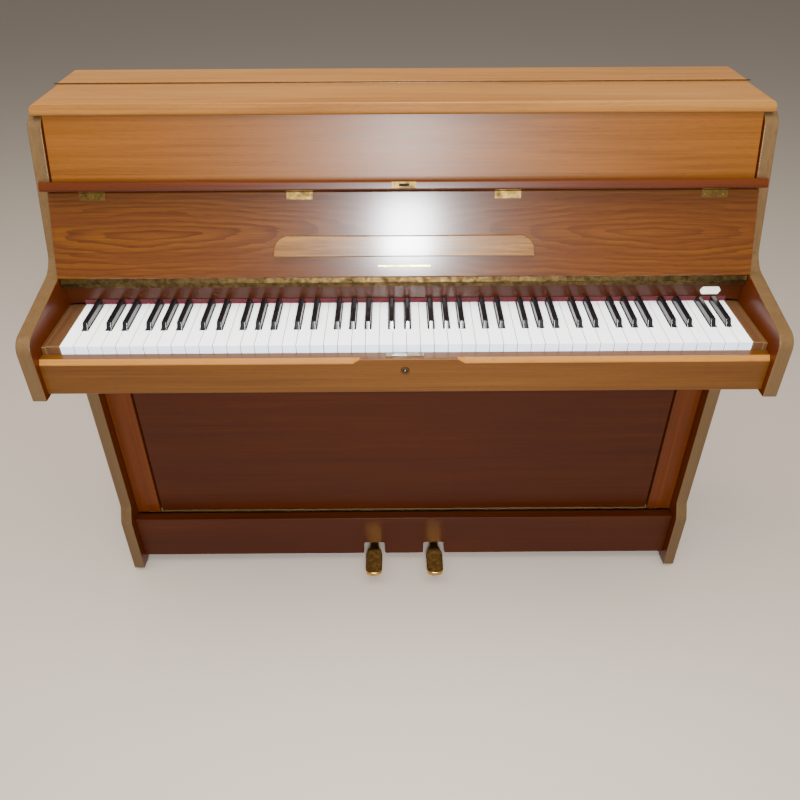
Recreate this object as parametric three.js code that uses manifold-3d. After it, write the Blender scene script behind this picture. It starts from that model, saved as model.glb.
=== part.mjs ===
// A modern slant-front upright piano with 85 keys, taken apart into its separate pieces.
//
// Millimetres, +Z up, +X to the player's right, the player sits at -Y. The origin is on the floor, under
// the middle of the instrument's outer box. The fall (keyboard lid) is open and the top lid is shut.

import * as THREE from 'three';
import { mergeVertices } from 'three/addons/utils/BufferGeometryUtils.js';
import Module from 'manifold-3d';

const wasm = await Module();
wasm.setup();

// ---------------------------------------------------------------- driving dimensions

const WIDTH = 1280;            // over the outer faces of the two ends
const HEIGHT = 1051;           // floor to the top of the lid
const DEPTH = 490;             // front of the arms to the back
const KEY_TOP = 715;           // floor to the tops of the white keys
const GAP = 0.3;               // between pieces that touch
const EASE = 1.5;              // radius that takes the sharpness off a board's edge

const END_T = 24;              // end boards
const ARM_REACH = 37;          // arm front, before the key fronts
const ARM_DROP = 89;           // arm underside, below the key tops
const ARM_SLOPE = 11;          // degrees that the arm's top falls to the front
const BEND_SET = 26.5;         // bend between arm and slanted front, behind the fall hinge pin
const BEND_RISE = 66;          // the same bend, above the key tops
const FRONT_LEAN = 16.1;       // degrees that the upper front leans back
const LEG_BACK = 154;          // front edge of an end below the arm, behind the key fronts
const TOE_OUT = 20;            // toe, before that edge
const TOE_TALL = 158;          // toe, below its bevel
const TOE_BEVEL = 32;          // height of the bevel above the toe
const GLIDE_T = 8;             // ends stand this high, on glides
const NOSE_R = 26;             // roundings of an end's outline
const BEND_R = 45;
const CROWN_R = 28;

const LID_T = 23.5;
const LID_INSET = 9;           // lid end, inside an end's outer face
const LID_OVERHANG = 8;        // lid front, past the upper panel's face
const LID_REAR = 97.5;          // depth of the fixed rear lid
const PANEL_T = 12;
const PANEL_SET = 6;           // upper panel, behind the ends' front edges
const PANEL_SIDE = 1.5;        // shadow gap beside a panel

const WHITE_PITCH = 23.5;
const KEY_GAP = 1;
const HEAD_LENGTH = 50;        // white key, before the black keys
const KEY_VISIBLE = 146;       // key front to nameboard
const KEY_LENGTH = 322;
const KEY_T = 22;
const BALANCE_BACK = 210;      // balance rail, behind the key fronts
const BLACK_RISE = 12;
const BLACK_CAP = 10.8;        // cap width at its foot
const BLACK_CAP_TOP = 9.4;
const BLACK_SIDE = 1.1;        // from the cap's foot to the white keys' tails
const BLACK_SHY = 4;           // cap's back end, before the nameboard
const KEYS_RIGHT = 3;          // keyboard, right of the middle of the case

const BED_T = 35;
const BED_DROP = 52;           // key bed's top, below the key tops
const SLIP_BACK = 2;           // key slip, before the key fronts
const SLIP_T = 22;
const SLIP_DROP = 14.5;        // key slip's top, below the key tops
const SLIP_TALL = 68;
const SLIP_BEVEL = 7;
const SLIP_BEVEL_DROP = 7.8;
const LOCK_LENGTH = 64;

const NAMEBOARD_T = 20;
const HINGE_SET = 11.5;        // fall hinge pin, before the nameboard's face
const HINGE_RISE = 48;         // the same pin, above the key tops
const KNUCKLE_R = 2.6;
const LEAF_T = 1.6;
const LEAF_TALL = 13;

const FALL_T = 18;
const FALL_LENGTH = 149;
const FALL_LEAN = 22;          // degrees, open
const FALL_FOOT_OUT = 10.5;    // fall's lower front edge, before the pin
const FALL_FOOT_UP = 14;       // the same edge, above the pin
const FALL_SIDE = 1.5;         // clearance to an end
const LIP_T = 16;
const LIP_OUT = 32;            // lip, past the fall's inner face
const LEDGE_LENGTH = 457;
const LEDGE_TOP_LENGTH = 453;
const LEDGE_TALL = 36;
const LEDGE_T = 9;
const LEDGE_UP = 37;           // ledge's hinged edge, above the fall's foot
const LEDGE_ROUND = 26;

const STILE_W = 53;
const STILE_T = 20;
const STILE_SET = 26;          // stile, behind the ends' lower front edge
const LOWER_PANEL_SIDE = 3.2;
const TOE_RAIL_T = 22;
const TOE_RAIL_BOTTOM = 32;
const TOE_RAIL_TALL = 116;
const BOTTOM_BOARD_T = 18;
const BOTTOM_BOARD_UP = 72;

const POST_T = 57;             // back posts, front to back
const POST_W = 66;
const POST_COUNT = 5;
const BEAM_TALL = 112;
const FRAME_FOOT = 60;
const SOUNDBOARD_T = 9;
const BRIDGE_T = 18;
const PLATE_T = 10;
const STRING_T = 1.4;
const ACTION_SIDE = 8;         // action bracket thickness

const PEDAL_X = 70;
const PEDAL_W = 38;
const PEDAL_T = 12;
const PEDAL_UP = 44;
const PEDAL_TIP_BACK = 72;     // pedal tip, behind the key fronts
const ROD_BACK = 333;
const ROD_R = 5;
const WHEEL_R = 20;
const WHEEL_W = 16;
const AXLE_R = 4;
const FORK_T = 4;

// ---------------------------------------------------------------- places worked out from them

const FRONT = -DEPTH / 2;
const BACK = DEPTH / 2;
const KEY_FRONT = FRONT + ARM_REACH;
const INNER = WIDTH / 2 - END_T;
const HINGE_BACK = KEY_VISIBLE - HINGE_SET;     // fall hinge pin, behind the key fronts
const BEND_BACK = HINGE_BACK + BEND_SET;        // ends' bend, behind the key fronts
const BLACK_LENGTH = KEY_VISIBLE - BLACK_SHY - HEAD_LENGTH;
const FIT = INNER - GAP;                       // half-length of what fits between the ends
const LID_UNDER = HEIGHT - LID_T;
const LEAN = Math.tan(THREE.MathUtils.degToRad(FRONT_LEAN));

const behind = (distance) => KEY_FRONT + distance;   // behind the key fronts
const above = (height) => KEY_TOP + height;          // above the key tops
const slant = (z) => behind(BEND_BACK) + (z - above(BEND_RISE)) * LEAN;   // ends' leaning front edge

const SEAM = BACK - LID_REAR;
const PIN = [behind(HINGE_BACK), above(HINGE_RISE)];
const FALL_HALF = INNER - FALL_SIDE;
const FALL_FOOT = [PIN[0] - FALL_FOOT_OUT, PIN[1] + FALL_FOOT_UP];
const BED_UNDER = above(-BED_DROP - BED_T);
const STILE_FRONT = behind(LEG_BACK + STILE_SET);
const POST_FRONT = BACK - 2 - POST_T;
const SOUNDBOARD_FRONT = POST_FRONT - GAP - SOUNDBOARD_T;
const PLANK_TALL = 150;
const PLANK_BOTTOM = LID_UNDER - 30 - PLANK_TALL;

// ---------------------------------------------------------------- finishes

const finish = (color, roughness, metalness = 0) => ({ color, roughness, metalness });
const FINISH = {
  veneer: finish('#a9713f', 0.35),
  figuredVeneer: finish('#96552a', 0.3),
  palerEdge: finish('#a8875f', 0.4),
  redVeneer: finish('#6e3c28', 0.35),
  lowerVeneer: finish('#5f2d14', 0.4),
  ledgeVeneer: finish('#a8794e', 0.35),
  softwood: finish('#c8a878', 0.7),
  spruce: finish('#d8bc88', 0.6),
  beech: finish('#c49a6c', 0.6),
  ivoryPlastic: finish('#f2f0e8', 0.2),
  blackPlastic: finish('#15141a', 0.15),
  felt: finish('#6b1720', 0.95),
  brass: finish('#b08d4a', 0.35, 1),
  gilded: finish('#9a7b3c', 0.45, 0.8),
  steel: finish('#b8bac0', 0.3, 1),
  rubber: finish('#1a1a1a', 0.9),
};

// ---------------------------------------------------------------- shape tools

/** Closed outline of [x, y, radius] corners, each with a radius rounded by an arc of `steps` chords. */
function outline(corners, steps = 6) {
  const points = [];
  corners.forEach(([x, y, radius = 0], i) => {
    const here = new THREE.Vector2(x, y);
    if (!radius) {
      points.push(here);
      return;
    }
    const [beforeX, beforeY] = corners.at(i - 1);
    const [afterX, afterY] = corners[(i + 1) % corners.length];
    const before = new THREE.Vector2(beforeX, beforeY).sub(here).normalize();
    const after = new THREE.Vector2(afterX, afterY).sub(here).normalize();
    const half = Math.acos(before.dot(after)) / 2;
    const bisector = before.clone().add(after).normalize();
    const centre = here.clone().addScaledVector(bisector, radius / Math.sin(half));
    const start = here.clone().addScaledVector(before, radius / Math.tan(half)).sub(centre);
    const side = Math.sign(before.cross(after));
    const sweep = -side * (Math.PI - 2 * half);
    for (let k = 0; k <= steps; k += 1) {
      points.push(start.clone().rotateAround(new THREE.Vector2(), (sweep * k) / steps).add(centre));
    }
  });
  return points;
}

const rectangle = (x0, y0, x1, y1) => outline([[x0, y0], [x1, y0], [x1, y1], [x0, y1]]);

/** Prism of an outline, from one place to another along an axis, with its edges eased.
 *  The outline is in (y, z) along x, in (x, z) along y and in (x, y) along z. */
function prism(points, axis, from, to, ease = 0) {
  const shape = new THREE.Shape(points);
  const bevel = { bevelEnabled: ease > 0, bevelSize: ease, bevelThickness: ease, bevelOffset: -ease };
  const geometry = new THREE.ExtrudeGeometry(shape, {
    depth: to - from - 2 * ease, bevelSegments: 2, ...bevel,
  });
  geometry.translate(0, 0, ease);
  const turn = {
    x: new THREE.Matrix4().set(0, 0, 1, from, 1, 0, 0, 0, 0, 1, 0, 0, 0, 0, 0, 1),
    y: new THREE.Matrix4().set(1, 0, 0, 0, 0, 0, -1, to, 0, 1, 0, 0, 0, 0, 0, 1),
    z: new THREE.Matrix4().makeTranslation(0, 0, from),
  };
  return geometry.applyMatrix4(turn[axis]);
}

/** Box between two corners. */
function block([x0, y0, z0], [x1, y1, z1]) {
  const geometry = new THREE.BoxGeometry(x1 - x0, y1 - y0, z1 - z0);
  return geometry.translate((x0 + x1) / 2, (y0 + y1) / 2, (z0 + z1) / 2);
}

/** Round bar along an axis, centred on a point. */
function bar(axis, radius, length, [x, y, z], sides = 24) {
  const geometry = new THREE.CylinderGeometry(radius, radius, length, sides);
  if (axis === 'x') geometry.rotateZ(Math.PI / 2);
  if (axis === 'z') geometry.rotateX(Math.PI / 2);
  return geometry.translate(x, y, z);
}

function toSolid(geometry) {
  const bare = geometry.clone();
  bare.deleteAttribute('normal');
  bare.deleteAttribute('uv');
  const merged = mergeVertices(bare, 1e-4);
  return new wasm.Manifold(new wasm.Mesh({
    numProp: 3,
    vertProperties: new Float32Array(merged.attributes.position.array),
    triVerts: new Uint32Array(merged.index.array),
  }));
}

function toGeometry(solid) {
  const mesh = solid.getMesh();
  const geometry = new THREE.BufferGeometry();
  geometry.setAttribute('position', new THREE.BufferAttribute(mesh.vertProperties, 3));
  geometry.setIndex(new THREE.BufferAttribute(mesh.triVerts, 1));
  return geometry;
}

const join = (...pieces) => toGeometry(pieces.map(toSolid).reduce((sum, next) => sum.add(next)));
const cut = (piece, ...tools) => toGeometry(
  tools.map(toSolid).reduce((left, tool) => left.subtract(tool), toSolid(piece)),
);

const piano = new THREE.Group();

function place(name, look, geometry) {
  const mesh = new THREE.Mesh(geometry, new THREE.MeshStandardMaterial(FINISH[look]));
  mesh.name = name;
  piano.add(mesh);
}

const SIDES = [['left', -1], ['right', 1]];

/** Range of x from one distance off the middle to another, on one side. */
const spanX = (side, near, far) => (side < 0 ? [-far, -near] : [near, far]);

// ---------------------------------------------------------------- case

function addEnds() {
  const leg = behind(LEG_BACK);
  const toe = leg - TOE_OUT;
  const noseZ = above(BEND_RISE)
    - (BEND_BACK + ARM_REACH) * Math.tan(THREE.MathUtils.degToRad(ARM_SLOPE));
  const profile = outline([
    [toe, GLIDE_T, 3],
    [BACK, GLIDE_T, 3],
    [BACK, LID_UNDER - GAP],
    [slant(LID_UNDER), LID_UNDER - GAP, CROWN_R],
    [behind(BEND_BACK), above(BEND_RISE), BEND_R],
    [FRONT, noseZ, NOSE_R],
    [FRONT, above(-ARM_DROP), 3],
    [leg, above(-ARM_DROP), 4],
    [leg, TOE_TALL + TOE_BEVEL, 12],
    [toe, TOE_TALL, 12],
  ]);
  for (const [hand, side] of SIDES) {
    const [from, to] = spanX(side, INNER, WIDTH / 2);
    place(`${hand}_end`, 'veneer', prism(profile, 'x', from, to, EASE));
    const underToe = [(from + to) / 2, toe + 30, GLIDE_T / 2 - GAP / 2];
    place(`${hand}_glide`, 'steel', bar('z', END_T / 2 - 1, GLIDE_T - GAP, underToe));
  }
}

function addLid() {
  const half = WIDTH / 2 - LID_INSET;
  const front = slant(LID_UNDER) + PANEL_SET - LID_OVERHANG;
  const rounded = (y0, y1, frontRadius, backRadius) => outline([
    [y0, LID_UNDER, frontRadius], [y1, LID_UNDER], [y1, HEIGHT, backRadius], [y0, HEIGHT, 1.5],
  ], 3);
  place('lid_front', 'veneer', prism(rounded(front, SEAM - 0.4, 6, 0.8), 'x', -half, half));
  place('lid_rear', 'veneer', prism(rounded(SEAM + 0.4, BACK, 0.8, 4), 'x', -half, half));
}

function addUpperPanel() {
  const bottom = PIN[1] + 8;
  const top = LID_UNDER - GAP;
  const face = (z) => slant(z) + PANEL_SET;
  const profile = outline([
    [face(bottom), bottom], [face(bottom) + PANEL_T, bottom], [face(top) + PANEL_T, top], [face(top), top],
  ]);
  const half = INNER - PANEL_SIDE;
  place('upper_front_panel', 'veneer', prism(profile, 'x', -half, half));
}

function addLowerFront() {
  const outer = FIT;
  const inner = outer - STILE_W;
  const stileBack = STILE_FRONT + STILE_T;
  const railTop = TOE_RAIL_BOTTOM + TOE_RAIL_TALL;
  const top = BED_UNDER - GAP;
  for (const [hand, side] of SIDES) {
    const [from, to] = spanX(side, inner, outer);
    const profile = rectangle(from, railTop + GAP, to, top);
    place(`${hand}_pilaster`, 'lowerVeneer', prism(profile, 'y', STILE_FRONT, stileBack, EASE));
  }
  const half = inner - LOWER_PANEL_SIDE;
  const panel = rectangle(-half, railTop + 1, half, top - 2);
  place('lower_front_panel', 'lowerVeneer', prism(panel, 'y', STILE_FRONT + 4, STILE_FRONT + 4 + PANEL_T, 1));

  const notch = (x) => {
    const side = PEDAL_W / 2 + 6;
    const roof = PEDAL_UP + PEDAL_T + 12;
    return [[x - side, TOE_RAIL_BOTTOM], [x - side, roof, 6], [x + side, roof, 6], [x + side, TOE_RAIL_BOTTOM]];
  };
  const rail = outline([
    [-outer, TOE_RAIL_BOTTOM], ...notch(-PEDAL_X), ...notch(PEDAL_X),
    [outer, TOE_RAIL_BOTTOM], [outer, railTop], [-outer, railTop],
  ], 3);
  const railFront = behind(LEG_BACK);
  place('toe_rail', 'lowerVeneer', prism(rail, 'y', railFront, railFront + TOE_RAIL_T));

  const boardTop = BOTTOM_BOARD_UP + BOTTOM_BOARD_T;
  const board = block(
    [-outer, railFront + TOE_RAIL_T + GAP, BOTTOM_BOARD_UP], [outer, SOUNDBOARD_FRONT - 12, boardTop],
  );
  const hole = (x) => block(
    [x - 11, behind(ROD_BACK) - 11, BOTTOM_BOARD_UP - 1], [x + 11, behind(ROD_BACK) + 11, boardTop + 1],
  );
  place('bottom_board', 'softwood', cut(board, hole(-PEDAL_X), hole(PEDAL_X)));
}

// ---------------------------------------------------------------- key well

function addKeyWell() {
  const slipBack = behind(-SLIP_BACK);
  const slipFront = slipBack - SLIP_T;
  const slipTop = above(-SLIP_DROP);
  const slip = outline([
    [slipFront, slipTop - SLIP_TALL, 3], [slipBack, slipTop - SLIP_TALL], [slipBack, slipTop],
    [slipFront + SLIP_BEVEL, slipTop], [slipFront, slipTop - SLIP_BEVEL_DROP, 1.5],
  ], 3);
  place('key_slip', 'veneer', prism(slip, 'x', -FIT, FIT));

  const bedTop = above(-BED_DROP);
  const bedBack = behind(KEY_LENGTH + 2);
  place('key_bed', 'softwood', block([-FIT, slipBack + GAP, BED_UNDER], [FIT, bedBack, bedTop]));

  const keysEnd = (WHITE_PITCH * WHITES) / 2;
  for (const [hand, side] of SIDES) {
    const [from, to] = spanX(side, keysEnd + side * KEYS_RIGHT + 0.5, FIT);
    const profile = rectangle(behind(0), bedTop + GAP, behind(KEY_VISIBLE) - GAP, above(0));
    place(`${hand}_key_block`, 'redVeneer', prism(profile, 'x', from, to, 1));
  }

  const leafBack = PIN[0] + KNUCKLE_R;
  const railFront = leafBack + GAP;
  const nameFront = behind(KEY_VISIBLE);
  const nameBack = nameFront + NAMEBOARD_T;
  const step = PIN[1] + 2.5 - LEAF_TALL;
  const nameboard = outline([
    [nameFront, above(3)], [nameBack, above(3)], [nameBack, PIN[1] + 2], [railFront, PIN[1] + 2],
    [railFront, step], [nameFront, step],
  ]);
  place('nameboard', 'redVeneer', prism(nameboard, 'x', -FIT, FIT));
  place('nameboard_felt', 'felt', block(
    [KEYS_RIGHT - keysEnd, nameFront - GAP - 3, above(1.2)], [KEYS_RIGHT + keysEnd, nameFront - GAP, above(9)],
  ));

  const leaf = block([-FALL_HALF, leafBack - LEAF_T, step + 0.5], [FALL_HALF, leafBack, PIN[1] + 1.5]);
  const knuckle = bar('x', KNUCKLE_R, 2 * FALL_HALF, [0, ...PIN], 16);
  place('fall_hinge', 'brass', join(leaf, knuckle));
  place('lock_plate', 'brass', block(
    [-LOCK_LENGTH / 2, slipFront + SLIP_BEVEL + 1, slipTop + GAP], [LOCK_LENGTH / 2, slipBack - 2, slipTop + GAP + 1.4],
  ));
}

// ---------------------------------------------------------------- keyboard

const OCTAVE_WHITES = [0, 2, 4, 5, 7, 9, 11];   // notes of the white keys, in halftones above C
const FIRST_NOTE = 9;                            // the lowest key is an A
const NOTES = 85;
const FIRST_SINGLE = 48;                         // middle C, in halftones above the octave's first C
const NOTE_NAMES = ['c', 'c_sharp', 'd', 'd_sharp', 'e', 'f', 'f_sharp', 'g', 'g_sharp', 'a', 'a_sharp', 'b'];

const isWhite = (note) => OCTAVE_WHITES.includes(note % 12);
const whiteIndex = (note) => 7 * Math.floor(note / 12) + OCTAVE_WHITES.filter((n) => n < note % 12).length;
const notes = Array.from({ length: NOTES }, (_, i) => FIRST_NOTE + i);
const WHITES = notes.filter(isWhite).length;
const KEYBOARD_LEFT = KEYS_RIGHT - (WHITE_PITCH * WHITES) / 2 - WHITE_PITCH * whiteIndex(FIRST_NOTE);
const SLOT = BLACK_CAP + 2 * BLACK_SIDE;         // between the tails that a black key stands between

/** Left and right edge of a note's share of the tails: five equal ones from C to E, seven from F to B. */
function tailShare(note) {
  const step = note % 12;
  const octave = KEYBOARD_LEFT + 7 * WHITE_PITCH * Math.floor(note / 12);
  const lower = step < 5;
  const share = lower ? (3 * WHITE_PITCH) / 5 : (4 * WHITE_PITCH) / 7;
  const left = octave + (lower ? step * share : 3 * WHITE_PITCH + (step - 5) * share);
  return [left, left + share];
}

const tailMiddle = (note) => tailShare(note).reduce((a, b) => (a + b) / 2);

function whiteKey(note) {
  const left = KEYBOARD_LEFT + WHITE_PITCH * whiteIndex(note) + KEY_GAP / 2;
  const right = left + WHITE_PITCH - KEY_GAP;
  const blackBelow = note > notes[0] && !isWhite(note - 1);
  const blackAbove = note < notes.at(-1) && !isWhite(note + 1);
  const tailLeft = blackBelow ? tailMiddle(note - 1) + SLOT / 2 : left;
  const tailRight = blackAbove ? tailMiddle(note + 1) - SLOT / 2 : right;
  const shoulder = behind(HEAD_LENGTH);
  const back = behind(KEY_LENGTH);
  const corners = [[left, behind(0)], [right, behind(0)], [right, shoulder]];
  if (tailRight < right) corners.push([tailRight, shoulder]);
  corners.push([tailRight, back], [tailLeft, back]);
  if (tailLeft > left) corners.push([tailLeft, shoulder]);
  corners.push([left, shoulder]);
  const plan = corners.filter(([x, y], i) => {
    const [bx, by] = corners.at(i - 1);
    const [ax, ay] = corners[(i + 1) % corners.length];
    return Math.abs((x - bx) * (ay - y) - (y - by) * (ax - x)) > 1e-6;
  });
  return prism(outline(plan), 'z', above(-KEY_T), above(0));
}

function blackKey(note) {
  const middle = tailMiddle(note);
  const stickFront = behind(HEAD_LENGTH + KEY_GAP);
  const half = SLOT / 2 - KEY_GAP;
  const stick = block(
    [middle - half, stickFront, above(-KEY_T)], [middle + half, behind(KEY_LENGTH), above(-1.5)],
  );
  const cap = prism(outline([
    [stickFront, above(-2)], [stickFront + BLACK_LENGTH - KEY_GAP, above(-2)],
    [stickFront + BLACK_LENGTH - KEY_GAP, above(BLACK_RISE)], [stickFront + 7, above(BLACK_RISE), 3],
    [stickFront + 0.5, above(1)],
  ], 3), 'x', middle - BLACK_CAP / 2, middle + BLACK_CAP / 2);
  const wide = BLACK_CAP / 2 + 1;
  const slope = (BLACK_CAP - BLACK_CAP_TOP) / 2;
  const cheek = (side) => prism(outline([
    [side * (BLACK_CAP / 2), above(0)], [side * wide, above(0)], [side * wide, above(BLACK_RISE + 1)],
    [side * (BLACK_CAP / 2 - slope), above(BLACK_RISE + 1)],
  ]), 'y', stickFront - 1, stickFront + BLACK_LENGTH).translate(middle, 0, 0);
  return join(stick, cut(cap, cheek(-1), cheek(1)));
}

const keyShape = (note) => (isWhite(note) ? whiteKey(note) : blackKey(note));

/** A bank of keys as one piece, held by a bar over the balance rail. */
function keyBank(bank, barY) {
  const shapes = bank.map(keyShape);
  const middles = bank.map(tailMiddle);
  const posts = middles.map((x) => block([x - 3, barY, above(-4)], [x + 3, barY + 6, above(3)]));
  const rail = block([middles[0] - 3, barY, above(2)], [middles.at(-1) + 3, barY + 6, above(5)]);
  return join(...shapes, ...posts, rail);
}

function addKeys() {
  const single = notes.filter((note) => note >= FIRST_SINGLE && note < FIRST_SINGLE + 12);
  for (const note of single) {
    const look = isWhite(note) ? 'ivoryPlastic' : 'blackPlastic';
    place(`key_${NOTE_NAMES[note % 12]}4`, look, keyShape(note));
  }
  const banks = [
    ['bass', notes.filter((note) => note < single[0])],
    ['treble', notes.filter((note) => note > single.at(-1))],
  ];
  for (const [name, bank] of banks) {
    const whites = bank.filter(isWhite);
    const blacks = bank.filter((note) => !isWhite(note));
    place(`${name}_white_keys`, 'ivoryPlastic', keyBank(whites, behind(BALANCE_BACK + 3)));
    place(`${name}_black_keys`, 'blackPlastic', keyBank(blacks, behind(BALANCE_BACK - 9)));
  }
}

function addKeyFrame() {
  const bottom = above(-BED_DROP) + GAP;
  const under = above(-KEY_T) - GAP;
  const half = (WHITE_PITCH * WHITES) / 2;
  const balance = prism(outline([
    [behind(BALANCE_BACK - 24), bottom], [behind(BALANCE_BACK + 24), bottom],
    [behind(BALANCE_BACK + 24), under - 3], [behind(BALANCE_BACK + 4), under],
    [behind(BALANCE_BACK - 4), under], [behind(BALANCE_BACK - 24), under - 3],
  ]), 'x', -half, half);
  const front = block([-half, behind(14), bottom], [half, behind(58), above(-36)]);
  const rear = block([-half, behind(KEY_LENGTH - 36), bottom], [half, behind(KEY_LENGTH - 2), under]);
  const ties = [-0.9, -0.3, 0.3, 0.9].map((share) => block(
    [share * half - 20, behind(15), bottom], [share * half + 20, behind(KEY_LENGTH - 4), bottom + 12],
  ));
  place('key_frame', 'beech', join(balance, front, rear, ...ties).translate(KEYS_RIGHT, 0, 0));
}

// ---------------------------------------------------------------- fall

/** Point at a distance up the open fall's inner face and a distance out from it, as [y, z]. */
function onFall(up, out) {
  const lean = THREE.MathUtils.degToRad(FALL_LEAN);
  return [
    FALL_FOOT[0] + up * Math.sin(lean) - out * Math.cos(lean),
    FALL_FOOT[1] + up * Math.cos(lean) + out * Math.sin(lean),
  ];
}

function addFall() {
  const board = outline([
    [...onFall(0, -FALL_T), 2], onFall(FALL_LENGTH, -FALL_T), onFall(FALL_LENGTH, 0), [...onFall(0, 0), 2],
  ], 3);
  place('fallboard', 'figuredVeneer', prism(board, 'x', -FALL_HALF, FALL_HALF));

  const lipFoot = FALL_LENGTH + GAP;
  const lip = outline([
    [...onFall(lipFoot, LIP_OUT), 2.5], [...onFall(lipFoot, -FALL_T)],
    [...onFall(lipFoot + LIP_T, -FALL_T), 4], [...onFall(lipFoot + LIP_T, LIP_OUT), 4],
  ], 3);
  place('fallboard_lip', 'redVeneer', prism(lip, 'x', -FALL_HALF, FALL_HALF));
  const plate = outline([
    onFall(lipFoot + 2.6, LIP_OUT + GAP), onFall(lipFoot + LIP_T - 2.6, LIP_OUT + GAP),
    onFall(lipFoot + LIP_T - 2.6, LIP_OUT + GAP + 1), onFall(lipFoot + 2.6, LIP_OUT + GAP + 1),
  ]);
  place('strike_plate', 'brass', prism(plate, 'x', -20.5, 20.5));

  const face = outline([
    [-LEDGE_LENGTH / 2, 0], [LEDGE_LENGTH / 2, 0], [LEDGE_TOP_LENGTH / 2, LEDGE_TALL, LEDGE_ROUND],
    [-LEDGE_TOP_LENGTH / 2, LEDGE_TALL, LEDGE_ROUND],
  ]);
  const [ledgeY, ledgeZ] = onFall(LEDGE_UP, GAP);
  const ledge = prism(face, 'y', -LEDGE_T, 0, 1);
  ledge.rotateX(-THREE.MathUtils.degToRad(FALL_LEAN)).translate(0, ledgeY, ledgeZ);
  place('music_ledge', 'ledgeVeneer', ledge);
}

// ---------------------------------------------------------------- strung back

function addBack() {
  const rear = BACK - 2;
  const top = LID_UNDER - GAP;
  const half = FIT;
  const pitch = (2 * half - POST_W) / (POST_COUNT - 1);
  const posts = Array.from({ length: POST_COUNT }, (_, i) => block(
    [-half + i * pitch, POST_FRONT, FRAME_FOOT + 5], [-half + i * pitch + POST_W, rear, top - 5],
  ));
  const beams = [[FRAME_FOOT, FRAME_FOOT + BEAM_TALL], [top - BEAM_TALL, top]].map(
    ([z0, z1]) => block([-half, POST_FRONT, z0], [half, rear, z1]),
  );
  place('back_frame', 'softwood', join(...posts, ...beams));

  const boardHalf = half - 12;
  const boardBottom = BOTTOM_BOARD_UP + BOTTOM_BOARD_T + 14;
  const boardTop = PLANK_BOTTOM - GAP;
  place('soundboard', 'spruce', block(
    [-boardHalf, SOUNDBOARD_FRONT, boardBottom], [boardHalf, SOUNDBOARD_FRONT + SOUNDBOARD_T, boardTop],
  ));
  const plateBack = SOUNDBOARD_FRONT - BRIDGE_T - GAP;
  const plateFront = plateBack - PLATE_T;
  place('wrest_plank', 'beech', block(
    [-boardHalf, plateBack + GAP, PLANK_BOTTOM], [boardHalf, POST_FRONT - GAP, PLANK_BOTTOM + PLANK_TALL],
  ));

  const plateTop = PLANK_BOTTOM + PLANK_TALL;
  const bays = [-1, -0.5, 0.08, 0.56, 1].map((share) => share * (boardHalf - 20));
  const openings = bays.slice(1).map((right, i) => prism(outline([
    [bays[i] + 9, boardBottom + 70, 12], [right - 9, boardBottom + 70, 12],
    [right - 9, PLANK_BOTTOM - 40, 12], [bays[i] + 9, PLANK_BOTTOM - 40, 12],
  ], 3), 'y', plateFront - 1, plateBack + 1));
  const plate = block([-boardHalf, plateFront, boardBottom], [boardHalf, plateBack, plateTop]);
  place('iron_frame', 'gilded', cut(plate, ...openings));

  const bridge = (name, [x0, z0], [x1, z1], thick) => {
    const run = new THREE.Vector2(x1 - x0, z1 - z0).normalize().multiplyScalar(thick / 2);
    const band = outline([
      [x0 + run.y, z0 - run.x], [x1 + run.y, z1 - run.x], [x1 - run.y, z1 + run.x], [x0 - run.y, z0 + run.x],
    ]);
    place(name, 'beech', prism(band, 'y', SOUNDBOARD_FRONT - BRIDGE_T + 2, SOUNDBOARD_FRONT - GAP));
  };
  const low = boardBottom + 90;
  bridge('bass_bridge', [-0.86 * boardHalf, low], [-0.56 * boardHalf, low + 60], 30);
  bridge('treble_bridge', [-0.42 * boardHalf, low + 20], [-0.02 * boardHalf, low + 170], 30);

  const strings = (name, count, y, footFrom, footTo, headFrom, headTo) => {
    const mix = (from, to, share) => from + (to - from) * share;
    const wires = Array.from({ length: count }, (_, i) => {
      const share = i / (count - 1);
      const foot = mix(footFrom, footTo, share);
      const head = mix(headFrom, headTo, share);
      const wire = outline([
        [foot - STRING_T / 2, boardBottom + 30], [foot + STRING_T / 2, boardBottom + 30],
        [head + STRING_T / 2, plateTop - 40], [head - STRING_T / 2, plateTop - 40],
      ]);
      return prism(wire, 'y', y, y + STRING_T);
    });
    const bearing = (z, from, to) => block([from - 4, y - 0.6, z - 3], [to + 4, y + STRING_T + 0.6, z + 3]);
    place(name, 'steel', join(
      ...wires, bearing(boardBottom + 34, footFrom, footTo), bearing(plateTop - 44, headFrom, headTo),
    ));
  };
  const reach = boardHalf - 40;
  strings('treble_strings', 26, plateFront - GAP - STRING_T - 0.7, -0.45 * reach, reach, -0.3 * reach, reach);
  strings('bass_strings', 14, plateFront - 8, -0.9 * reach, 0.02 * reach, -reach, -0.34 * reach);
}

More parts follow.
